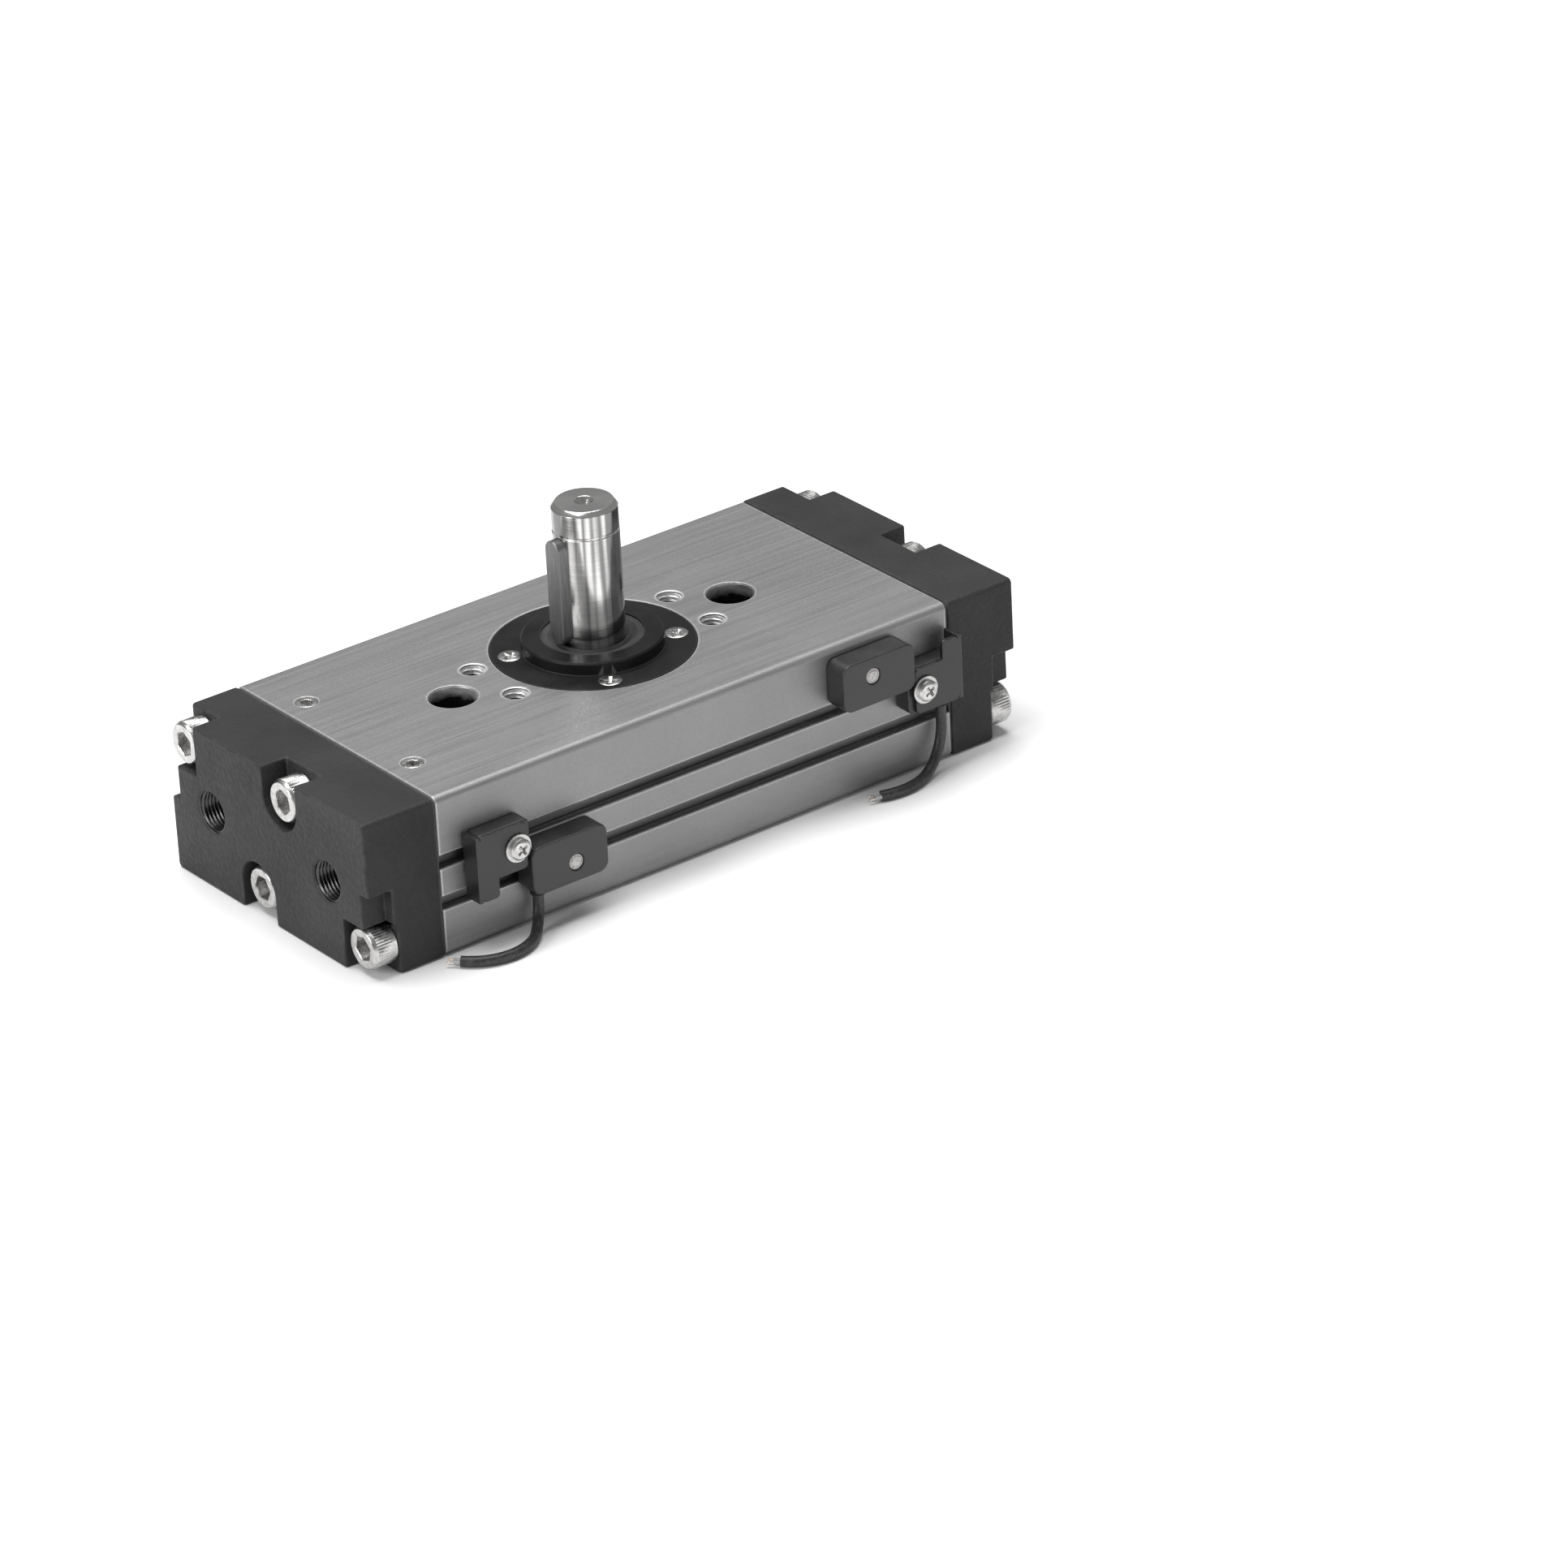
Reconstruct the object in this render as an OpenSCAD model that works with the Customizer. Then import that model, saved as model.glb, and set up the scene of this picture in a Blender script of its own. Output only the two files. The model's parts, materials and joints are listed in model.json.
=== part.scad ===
// Compact double-rack rotary actuator with two rail-mounted position switches.
// Two toothed pistons in parallel bores turn a pinion shaft that stands out of the top face.
// X runs along the pistons, the switch rail faces -Y, Z runs up the output shaft,
// and the origin is the point where the shaft axis meets the base.

/* [Body] */
// Length of the extruded body
body_len = 139; // [136:1:150]
// Width of the body across both bores
body_w = 75; // [75:1:82]
// Height of the body
body_h = 38; // [38:1:42]
// Radius of the long outer edges
edge_r = 1.8; // [1:0.1:2.5]
// Diameter of the piston bores
bore_d = 23; // [22.6:0.1:23.4]
// Distance of each piston axis from the shaft axis
bore_y = 21; // [20.8:0.1:21.2]

/* [End covers] */
// Thickness of each end cover
cover_t = 18.5; // [18:0.5:22]
// Thickness of the cover gaskets
gasket_t = 0.5; // [0.3:0.1:1]
// Thickness of the cover flange under the screw heads
flange_t = 11.5; // [10:0.5:12]
// Distance of the inner cover screws from the middle
screw_in_y = 5.5; // [5:0.5:8]
// Distance of the corner cover screws from the middle
screw_out_y = 32.5; // [32:0.25:32.5]
// Height of the cover screws above or below the mid plane
screw_dz = 12.5; // [12:0.25:13]
// Distance of each air port from the middle
port_y = 22; // [21:0.5:23]
// Diameter of the air port thread
port_d = 8.8; // [8.6:0.1:9.8]

/* [Output shaft] */
// Diameter of the output shaft
shaft_d = 15; // [14.8:0.1:15.2]
// Height of the shaft end above the top face
shaft_rise = 35; // [33:1:45]
// Length of the key
key_len = 25; // [18:1:26]
// Width and height of the key
key_w = 5; // [4:0.5:5]
// Diameter of the locating ring round the shaft
pilot_d = 32; // [32:0.5:34]
// Height of the locating ring
pilot_rise = 3; // [2:0.5:4]
// Diameter of the bearing retainer flange
retainer_d = 46; // [45:0.5:47]

/* [Gear] */
// Gear module
gear_m = 1.5; // [1.5:0.05:1.55]
// Number of pinion teeth
pinion_teeth = 16; // [16:1:16]
// Tooth thinning that gives the running backlash
tooth_play = 0.16; // [0.12:0.01:0.2]

/* [Mounting holes] */
// Distance between the two counterbored through holes
through_pitch = 76; // [74:1:80]
// Diameter of the through holes
through_d = 7; // [6.5:0.1:7]
// Lengthwise distance between the tapped holes in the top face
tapped_x = 54; // [53:1:56]
// Crosswise distance between the tapped holes in the top face
tapped_y = 16; // [14:1:16]

/* [Position switches] */
// Height of the upper slot on the switch side
slot_z = 22.6; // [22:0.1:23]
// Height of the lower slot on the switch side
low_slot_z = 12.8; // [12:0.1:13]
// Place of the near switch along the rail
near_switch_x = -53; // [-55:1:-45]
// Place of the far switch along the rail
far_switch_x = 58.5; // [50:0.5:59]
// Diameter of the switch leads
lead_d = 2.5; // [2.2:0.1:2.8]

/* [Hidden] */
$fn = 64;
eps = 0.01;
mid_z = body_h / 2;
half_l = body_len / 2;
half_w = body_w / 2;
bore_r = bore_d / 2;
cover_x = half_l + gasket_t;
end_x = cover_x + cover_t;
flange_x = cover_x + flange_t;
shaft_r = shaft_d / 2;
shaft_top = body_h + shaft_rise;

// Bearings and their seats
seat_r = 14;
bearing_h = 7;
seat_low = 2.5;
seat_high = body_h - 2.5;
recess_floor = body_h - 3;
low_bearing_z = seat_low;
top_bearing_z = seat_high - bearing_h;
inner_race_r = 9.5;
outer_race_r = 12;
ball_r = 2;
ball_pitch_r = (inner_race_r + outer_race_r) / 2;
ball_count = 9;

// Gear train
pitch_r = gear_m * pinion_teeth / 2;
tooth_pitch = PI * gear_m;
tip_r = pitch_r + gear_m;
root_r = pitch_r - 1.14 * gear_m;
base_r = pitch_r * cos(20);
pinion_low = 12;
pinion_high = 26;
rack_add = 1.3;
rack_ded = 1.75;
rack_half = 27;

// Pistons
piston_r = bore_r - 0.3;
piston_half = 46.5;
seal_x = 42;
seal_w = 3;
magnet_x = 37;
magnet_w = 3;
wear_x = 30;
wear_w = 4.5;
bumper_r = 9;
bumper_seat = 1;
bumper_x = piston_half + 19.1;

// Retainer and shaft seal
pilot_r = pilot_d / 2;
retainer_r = retainer_d / 2;
seal_r = 11.5;
seal_floor = recess_floor + 1.5;
retainer_bolt_r = 18.75;
retainer_bolt_a = -25;

// Bleed plugs in the top face
bleed_x = -63;
bleed_y = bore_y - 1;
bleed_r = 2.5;
bleed_h = 4;

// Fasteners: M6 cap screws hold the covers, M3 countersunk screws hold the retainer
m6_head_r = 5;
m6_head_h = 6;
m6_tap_r = 2.5;
m6_shank = 25;
m6_hole_r = 3.3;
m3_tap_r = 1.25;

// Pockets round the heads of the cover screws
pocket_r = 6.3;
notch_y = screw_out_y - m6_head_r - 0.5;
notch_z = mid_z - screw_dz + m6_head_r + 0.5;
step_z = 20.5;
step_in = 3;

// Switch slots: lip depth, half width of the mouth, half width and depth of the chamber behind it
lip = 1.2;
mouth = 1.6;
chamber = 2.6;
slot_depth = 3.2;

// Switch: all measured from its clamp screw, outwards from the side of the body
sensor_end = 23;
sensor_drop = 13;
sensor_out = 6.3;
block_out = 4.6;
plate_out = 5.6;
lead_out = 2.5;
gland_h = 1.5;
near_gland_x = 6.5;
far_gland_x = -6.5;

// Routes of the two leads, from the gland to the stripped end
near_route = [
    [-46.5, -40, 8.1], [-46.5, -40, 6.45], [-46.82, -40.34, 4.85], [-47.51, -41.04, 3.4],
    [-48.37, -41.94, 2.29], [-49.42, -43.02, 1.55], [-50.57, -44.21, 1.26],
    [-51.8, -45.35, 1.25], [-53.17, -46.32, 1.25], [-54.65, -47.1, 1.25],
    [-56.23, -47.68, 1.25], [-57.87, -48.04, 1.25], [-59.55, -48.18, 1.25],
    [-61.22, -48.09, 1.25], [-62.87, -47.79, 1.25], [-64.47, -47.27, 1.25],
    [-65.98, -46.54, 1.25], [-67.39, -45.62, 1.25], [-68.65, -44.51, 1.25],
    [-69.77, -43.25, 1.25]];
far_route = [
    [65, -40, 15.6], [65, -40, 13.93], [65, -40, 12.25], [64.99, -40, 10.58],
    [64.79, -40.08, 8.92], [64.33, -40.27, 7.32], [63.63, -40.56, 5.83],
    [62.69, -40.93, 4.5], [61.56, -41.39, 3.35], [60.27, -41.91, 2.43],
    [58.85, -42.49, 1.76], [57.34, -43.09, 1.36], [55.79, -43.72, 1.25],
    [54.2, -44.24, 1.25], [52.57, -44.6, 1.25], [50.91, -44.79, 1.25],
    [49.23, -44.8, 1.25], [47.57, -44.64, 1.25], [45.92, -44.32, 1.25],
    [44.33, -43.82, 1.25]];

// ---------- shared shapes ----------

// A cylinder along X from x0 to x1
module rod_x(r, x0, x1, y, z) {
    translate([x0, y, z]) rotate([0, 90, 0]) cylinder(r = r, h = x1 - x0);
}

// A box given by its two opposite corners
module block(low, high) {
    translate(low) cube(high - low);
}

// A ring between two radii, standing on z0
module ring(r_in, r_out, z0, z1) {
    translate([0, 0, z0]) difference() {
        cylinder(r = r_out, h = z1 - z0);
        translate([0, 0, -1]) cylinder(r = r_in, h = z1 - z0 + 2);
    }
}

// A rectangle with four round corners, centred
module soft_rect(w, h, r) {
    square([w - 2 * r, h], center = true);
    square([w, h - 2 * r], center = true);
    for (sx = [-1, 1], sy = [-1, 1])
        translate([sx * (w / 2 - r), sy * (h / 2 - r)]) circle(r = r, $fn = 32);
}

// Half turn about the X axis through the middle of the body
module half_turn() {
    translate([0, 0, body_h]) rotate([180, 0, 0]) children();
}

// The same thing at both ends of the X axis
module both_ends() {
    children();
    mirror([1, 0, 0]) children();
}

// The [y, z] of each cover screw axis
function screw_spots() = [
    [-screw_in_y, mid_z + screw_dz], [screw_in_y, mid_z - screw_dz],
    [screw_out_y, mid_z + screw_dz], [-screw_out_y, mid_z - screw_dz]];

// Places one child on each retainer screw axis
module retainer_spots() {
    for (i = [0:3])
        rotate([0, 0, retainer_bolt_a + 90 * i]) translate([retainer_bolt_r, 0, 0]) children();
}

// ---------- body ----------

// One T slot cut into the -Y side at height z
module side_slot(z) {
    translate([-half_w - 1, z - mouth]) square([lip + 1.5, 2 * mouth]);
    translate([-half_w + lip, z - chamber]) square([slot_depth - lip, 2 * chamber]);
}

// Cross-section of the extrusion, with two slots in each side
module body_profile() {
    difference() {
        translate([0, mid_z]) soft_rect(body_w, body_h, edge_r);
        for (turn = [0, 180]) translate([0, mid_z]) rotate(turn) translate([0, -mid_z]) {
            side_slot(slot_z);
            side_slot(low_slot_z);
        }
    }
}

module body_extrusion() {
    color("silver") difference() {
        translate([-half_l, 0, 0]) rotate([90, 0, 90]) linear_extrude(body_len) body_profile();
        // Piston bores and the shaft bore that opens into both
        for (side = [-1, 1]) rod_x(bore_r, -half_l - 1, half_l + 1, side * bore_y, mid_z);
        translate([0, 0, -1]) cylinder(r = seat_r, h = body_h + 2);
        // Recesses for the retainer above and the cap below
        translate([0, 0, recess_floor]) cylinder(r = retainer_r + 0.1, h = 4);
        translate([0, 0, -1]) cylinder(r = 17, h = seat_low + 1);
        translate([0, 0, 0.3]) cylinder(r = 17.9, h = 1);
        // Through holes with counterbores for the mounting bolts
        for (side = [-1, 1]) translate([side * through_pitch / 2, 0, 0]) {
            translate([0, 0, -1]) cylinder(r = through_d / 2, h = body_h + 2);
            translate([0, 0, body_h - 6.5]) cylinder(r = 5.5, h = 7);
        }
        // Tapped holes in the top face
        for (sx = [-1, 1], sy = [-1, 1])
            translate([sx * tapped_x / 2, sy * tapped_y / 2, body_h - 9]) {
                cylinder(r = 2.5, h = 10);
                translate([0, 0, 8.5]) cylinder(r1 = 2.5, r2 = 3.5, h = 1);
            }
        // Tapped holes for the cover screws
        both_ends() for (spot = screw_spots()) rod_x(m6_tap_r, -half_l - 1, -54, spot.x, spot.y);
        // Tapped holes for the retainer screws
        retainer_spots() translate([0, 0, recess_floor - 4]) cylinder(r = m3_tap_r, h = 5);
        // Bleed holes into the two air chambers
        for (side = [-1, 1]) translate([bleed_x, side * bleed_y, 0]) {
            translate([0, 0, body_h - bleed_h]) cylinder(r = bleed_r, h = bleed_h + 1);
            translate([0, 0, mid_z + 8]) cylinder(r = 0.8, h = 9, $fn = 24);
        }
    }
}

// ---------- end covers ----------

// Pockets round the cover screws on one diagonal: an open notch at the corner of the -Y side,
// the shallow step above it, and a round pocket that breaks out of the top edge
module cover_pockets() {
    block([-end_x - 1, -half_w - 1, -1], [-flange_x, -notch_y, notch_z]);
    block([-end_x - 1, -half_w - 1, -1], [-flange_x - 0.8, -half_w + step_in, step_z]);
    rod_x(pocket_r, -end_x - 1, -flange_x, -screw_in_y, mid_z + screw_dz);
    block([-end_x - 1, -screw_in_y - pocket_r, mid_z + screw_dz],
        [-flange_x, -screw_in_y + pocket_r, body_h + 1]);
}

// A cover at the -X end, before anything is drilled for air
module cover_blank() {
    difference() {
        translate([-end_x, 0, mid_z]) rotate([90, 0, 90]) linear_extrude(cover_t)
            soft_rect(body_w, body_h, 1.2);
        cover_pockets();
        half_turn() cover_pockets();
        for (spot = screw_spots()) rod_x(m6_hole_r, -end_x - 1, -cover_x + 1, spot.x, spot.y);
        // Seats of the bumper rings
        for (side = [-1, 1])
            rod_x(bumper_r, -cover_x - bumper_seat, -cover_x + 1, side * bore_y, mid_z);
    }
}

module port_end_cover() {
    color("dimgray") difference() {
        cover_blank();
        for (side = [-1, 1]) {
            rod_x(port_d / 2, -end_x - 1, -end_x + 9, side * port_y, mid_z);
            translate([-end_x - eps, side * port_y, mid_z]) rotate([0, 90, 0])
                cylinder(r1 = port_d / 2 + 0.8, r2 = port_d / 2, h = 0.8);
            rod_x(2.5, -end_x + 8, -cover_x + 1, side * port_y, mid_z);
        }
    }
}

module blind_end_cover() {
    color("dimgray") difference() {
        mirror([1, 0, 0]) cover_blank();
        // Cross passage that lets air pass between the two far chambers
        block([cover_x - 1, -bore_y, mid_z - 2], [cover_x + 4, bore_y, mid_z + 2]);
    }
}

// A gasket on the -X end face
module gasket() {
    difference() {
        translate([-cover_x, 0, mid_z]) rotate([90, 0, 90]) linear_extrude(gasket_t)
            soft_rect(body_w - 0.8, body_h - 0.8, 1.2);
        for (side = [-1, 1])
            rod_x(bore_r + 0.2, -cover_x - 1, -half_l + 1, side * bore_y, mid_z);
        for (spot = screw_spots()) rod_x(m6_hole_r, -cover_x - 1, -half_l + 1, spot.x, spot.y);
    }
}

module port_end_gasket() {
    color("darkslategray") gasket();
}

module blind_end_gasket() {
    color("darkslategray") mirror([1, 0, 0]) gasket();
}

// Four M6 cap screws with hexagon sockets, in the -X cover
module cover_screws() {
    for (spot = screw_spots()) difference() {
        union() {
            rod_x(m6_head_r, -flange_x - m6_head_h, -flange_x, spot.x, spot.y);
            rod_x(3, -flange_x - 1, -half_l, spot.x, spot.y);
            rod_x(m6_tap_r, -flange_x - 1, -flange_x + m6_shank, spot.x, spot.y);
        }
        translate([-flange_x - m6_head_h - 1, spot.x, spot.y]) rotate([0, 90, 0])
            cylinder(r = 5 / sqrt(3), h = 4, $fn = 6);
    }
}

module port_end_screws() {
    color("gainsboro") cover_screws();
}

module blind_end_screws() {
    color("gainsboro") mirror([1, 0, 0]) cover_screws();
}

// Rubber rings that stop the pistons at the -X end
module bumpers() {
    for (side = [-1, 1]) difference() {
        rod_x(bumper_r, -cover_x - bumper_seat, -bumper_x, side * bore_y, mid_z);
        rod_x(bumper_r / 2, -cover_x - 2, -bumper_x + 1, side * bore_y, mid_z);
    }
}

module port_end_bumpers() {
    color("black") bumpers();
}

module blind_end_bumpers() {
    color("black") mirror([1, 0, 0]) bumpers();
}

// ---------- top retainer, seals, bottom cap ----------

module bearing_retainer() {
    color("dimgray") difference() {
        union() {
            translate([0, 0, recess_floor]) cylinder(r = retainer_r, h = body_h - recess_floor);
            translate([0, 0, body_h]) cylinder(r = pilot_r, h = pilot_rise - 0.4);
            translate([0, 0, body_h + pilot_rise - 0.4])
                cylinder(r1 = pilot_r, r2 = pilot_r - 0.4, h = 0.4);
        }
        // Pocket over the outer race, opening for the shaft, seat of the lip seal
        translate([0, 0, recess_floor - 1]) cylinder(r = seat_r, h = seat_high - recess_floor + 1);
        translate([0, 0, recess_floor]) cylinder(r = 10.6, h = 10);
        translate([0, 0, seal_floor]) cylinder(r = seal_r, h = 10);
        ring(14.9, 16.4, recess_floor - 1, recess_floor + 1.2);
        retainer_spots() {
            translate([0, 0, recess_floor - 1]) cylinder(r = 1.7, h = 5);
            translate([0, 0, body_h - 1.4]) cylinder(r1 = 1.4, r2 = 2.8, h = 1.4 + eps);
        }
    }
}

// Countersunk cross-recess screws
module retainer_screws() {
    color("gainsboro") retainer_spots() difference() {
        union() {
            translate([0, 0, body_h - 1.35]) cylinder(r1 = 1.3, r2 = 2.7, h = 1.35);
            translate([0, 0, body_h - 6.5]) cylinder(r = m3_tap_r, h = 5.5);
        }
        for (a = [0, 90]) rotate([0, 0, a + 20])
            translate([-1.5, -0.35, body_h - 1]) cube([3, 0.7, 2]);
    }
}

module retainer_o_ring() {
    color("black") translate([0, 0, recess_floor + 0.6]) rotate_extrude()
        translate([15.65, 0]) circle(r = 0.6, $fn = 32);
}

// Lip seal round the shaft, seated inside the locating ring
module shaft_seal() {
    color("black") rotate_extrude() translate([0, seal_floor])
        polygon([
            [seal_r, 0], [seal_r, 4.1], [seal_r - 1.5, 4.1], [shaft_r + 1.4, 3.5],
            [shaft_r + 0.9, 4.1], [shaft_r + 0.06, 3.7], [shaft_r + 0.06, 3.3],
            [shaft_r + 1, 2.5], [shaft_r + 1, 1], [shaft_r + 0.4, 0]]);
}

module bottom_cap() {
    color("gray") difference() {
        translate([0, 0, 1.2]) cylinder(r = 16.9, h = seat_low - 1.2);
        translate([0, 0, seat_low - 0.5]) cylinder(r = outer_race_r - 0.2, h = 1);
    }
}

// Internal retaining ring with two eyes
module snap_ring() {
    color("dimgray") translate([0, 0, 0.4]) linear_extrude(0.8) difference() {
        union() {
            difference() {
                circle(r = 17.7);
                circle(r = 15.2);
                translate([-5, -20]) square([10, 20]);
            }
            for (side = [-1, 1]) rotate(side * 16) translate([0, -14.8]) circle(r = 2.1, $fn = 32);
        }
        for (side = [-1, 1]) rotate(side * 16) translate([0, -14.8]) circle(r = 0.9, $fn = 24);
    }
}

module bleed_plugs() {
    color("silver") for (side = [-1, 1]) translate([bleed_x, side * bleed_y, 0]) difference() {
        translate([0, 0, body_h - bleed_h]) cylinder(r = bleed_r, h = bleed_h - 0.1);
        translate([0, 0, body_h - 2]) cylinder(r = 2.5 / sqrt(3), h = 3, $fn = 6);
    }
}

// ---------- bearings ----------

// The ball track, as a ring to cut out of a race
module ball_track() {
    rotate_extrude() translate([ball_pitch_r, bearing_h / 2]) circle(r = ball_r + 0.15, $fn = 48);
}

module outer_race(z) {
    color("lightsteelblue") translate([0, 0, z]) difference() {
        ring(outer_race_r, seat_r, 0, bearing_h);
        ball_track();
    }
}

module inner_race(z) {
    color("lightsteelblue") translate([0, 0, z]) difference() {
        ring(shaft_r, inner_race_r, 0, bearing_h);
        ball_track();
    }
}

// Places one child on each ball
module ball_spots(z) {
    for (i = [0:ball_count - 1]) rotate([0, 0, i * 360 / ball_count])
        translate([ball_pitch_r, 0, z + bearing_h / 2]) children();
}

module ball_cage(z) {
    color("burlywood") difference() {
        ring(ball_pitch_r - 0.85, ball_pitch_r + 0.85, z + 1.4, z + bearing_h - 1.4);
        ball_spots(z) sphere(r = ball_r + 0.05, $fn = 32);
    }
}

module balls(z) {
    color("white") ball_spots(z) sphere(r = ball_r, $fn = 32);
}

module top_bearing_outer_race() {
    outer_race(top_bearing_z);
}

module bottom_bearing_outer_race() {
    outer_race(low_bearing_z);
}

module top_bearing_inner_race() {
    inner_race(top_bearing_z);
}

module bottom_bearing_inner_race() {
    inner_race(low_bearing_z);
}

module top_bearing_cage() {
    ball_cage(top_bearing_z);
}

module top_bearing_balls() {
    balls(top_bearing_z);
}

module bottom_bearing_cage() {
    ball_cage(low_bearing_z);
}

module bottom_bearing_balls() {
    balls(low_bearing_z);
}

// ---------- shaft and gear ----------

// Involute of the base circle, and the angle from the middle of a tooth to its flank at radius r
function involute_angle(r) = let (a = acos(base_r / r)) tan(a) * 180 / PI - a;
function flank_angle(r) =
    (tooth_pitch / 2 - tooth_play) / (2 * pitch_r) * 180 / PI
    + involute_angle(pitch_r) - involute_angle(max(r, base_r));
// Points up one flank of a tooth that points along +X, side 1 or -1
function flank(side) = [for (i = [0:6])
    let (k = side > 0 ? 6 - i : i, r = base_r + (tip_r - base_r) * k / 6)
    [r * cos(side * flank_angle(r)), r * sin(side * flank_angle(r))]];

module pinion_tooth() {
    half_root = flank_angle(base_r);
    polygon(concat(
        [[0, 0], [root_r * cos(half_root), -root_r * sin(half_root)]],
        flank(-1),
        flank(1),
        [[root_r * cos(half_root), root_r * sin(half_root)]]));
}

module pinion_shaft() {
    mark_z = shaft_top - 6.7;
    color("whitesmoke") difference() {
        union() {
            translate([0, 0, seat_low + 0.5]) cylinder(r = shaft_r, h = shaft_top - seat_low - 1.5);
            translate([0, 0, shaft_top - 1]) cylinder(r1 = shaft_r, r2 = shaft_r - 1, h = 1);
            translate([0, 0, low_bearing_z + bearing_h])
                cylinder(r = 9, h = top_bearing_z - low_bearing_z - bearing_h);
            translate([0, 0, pinion_low]) linear_extrude(pinion_high - pinion_low) {
                circle(r = root_r);
                for (i = [0:pinion_teeth - 1])
                    rotate(-90 + i * 360 / pinion_teeth) pinion_tooth();
            }
        }
        key_shape();
        // Fine turned line where the plain shaft end starts
        ring(shaft_r - 0.25, shaft_r + 1, mark_z, mark_z + 0.7);
        // Centre hole in the shaft end
        translate([0, 0, shaft_top - 3]) cylinder(r1 = 0.2, r2 = 2.2, h = 3 + eps);
    }
}

// Key with round ends, standing 2 mm proud of the shaft on its -X side
module key_shape() {
    key_top = shaft_top - 7;
    depth = 3;
    proud = key_w - depth;
    translate([-shaft_r - proud, 0, key_top - key_len / 2]) rotate([0, 90, 0])
        linear_extrude(key_w) {
            square([key_len - key_w, key_w], center = true);
            for (side = [-1, 1]) translate([side * (key_len - key_w) / 2, 0])
                circle(r = key_w / 2, $fn = 48);
        }
}

module shaft_key() {
    color("slategray") key_shape();
}

// ---------- pistons ----------

// Tooth spaces of a rack whose pitch line is the X axis and whose teeth point to +Y
module rack_spaces() {
    half_t = (tooth_pitch / 2 - tooth_play) / 2;
    tip = tooth_pitch / 2 - half_t + rack_add * tan(20);
    root = tooth_pitch / 2 - half_t - rack_ded * tan(20);
    for (i = [-5:5]) translate([i * tooth_pitch, 0])
        polygon([[-tip, rack_add], [-root, -rack_ded], [root, -rack_ded], [tip, rack_add],
            [tip, rack_add + 2], [-tip, rack_add + 2]]);
}

// Toothed piston on the -Y side
module rack_piston() {
    difference() {
        rod_x(piston_r, -piston_half, piston_half, -bore_y, mid_z);
        block([-rack_half, -pitch_r + rack_add, 0], [rack_half, 0, body_h]);
        translate([0, -pitch_r, 0]) linear_extrude(body_h) rack_spaces();
        both_ends() {
            rod_x(4.5, -piston_half - 1, -piston_half + 12, -bore_y, mid_z);
            groove(piston_r - 2, seal_x, seal_w);
            groove(piston_r - 2, magnet_x, magnet_w);
            groove(piston_r - 1, wear_x, wear_w);
        }
    }
}

// A groove round the piston, down to radius r, from x to x + w along -X
module groove(r, x, w) {
    difference() {
        rod_x(piston_r + 1, -x - w, -x, -bore_y, mid_z);
        rod_x(r, -x - w - 1, -x + 1, -bore_y, mid_z);
    }
}

// A pair of rings that fill two such grooves out to radius r_out
module piston_rings(r_in, r_out, x, w) {
    both_ends() difference() {
        rod_x(r_out, -x - w, -x, -bore_y, mid_z);
        rod_x(r_in, -x - w - 1, -x + 1, -bore_y, mid_z);
    }
}

// Cup seals with an open lip towards the air chamber
module cup_seals() {
    both_ends() difference() {
        rod_x(bore_r - 0.08, -seal_x - seal_w, -seal_x, -bore_y, mid_z);
        rod_x(piston_r - 2, -seal_x - seal_w - 1, -seal_x + 1, -bore_y, mid_z);
        difference() {
            rod_x(piston_r - 0.3, -seal_x - seal_w - 1, -seal_x - 1.6, -bore_y, mid_z);
            rod_x(piston_r - 1.1, -seal_x - seal_w - 2, -seal_x, -bore_y, mid_z);
        }
    }
}

// Moves a thing from the near piston to the far one
module to_far_side() {
    rotate([0, 0, 180]) children();
}

module near_rack_piston() {
    color("lightgray") rack_piston();
}

module near_piston_seals() {
    color("black") cup_seals();
}

module near_wear_rings() {
    color("tan") piston_rings(piston_r - 1, bore_r - 0.08, wear_x, wear_w);
}

module near_magnets() {
    color("saddlebrown") piston_rings(piston_r - 2, piston_r, magnet_x, magnet_w);
}

module far_rack_piston() {
    color("lightgray") to_far_side() rack_piston();
}

module far_piston_seals() {
    color("black") to_far_side() cup_seals();
}

module far_wear_rings() {
    color("tan") to_far_side() piston_rings(piston_r - 1, bore_r - 0.08, wear_x, wear_w);
}

// ---------- position switches ----------

// Puts a switch part at the near place: sensor hanging below the upper slot, towards +X
module at_near() {
    translate([near_switch_x, -half_w, slot_z]) children();
}

// Puts a switch part at the far place, turned half a turn so that the sensor stands above
module at_far() {
    translate([far_switch_x, -half_w, slot_z]) rotate([0, 180, 0]) children();
}

// An outline drawn in X and Z, extruded away from the body between two depths
module outward(from, to) {
    translate([0, -from, 0]) rotate([90, 0, 0]) linear_extrude(to - from) children();
}

// Clamp block with the sensor beside and below it
module switch_case() {
    color([0.13, 0.13, 0.14]) difference() {
        union() {
            outward(0.3, block_out) translate([-2.75, 0]) soft_rect(13.5, 11, 1.2);
            outward(0.3, sensor_out) translate([(3 + sensor_end) / 2, -(sensor_drop + 1.5) / 2])
                soft_rect(sensor_end - 3, sensor_drop - 1.5, 2.4);
        }
        translate([0, 1, 0]) rotate([90, 0, 0]) cylinder(r = 1.45, h = 10, $fn = 32);
        outward(sensor_out - 1, sensor_out + 1) translate([14.6, -8.4]) circle(r = 1.9, $fn = 32);
    }
}

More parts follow.
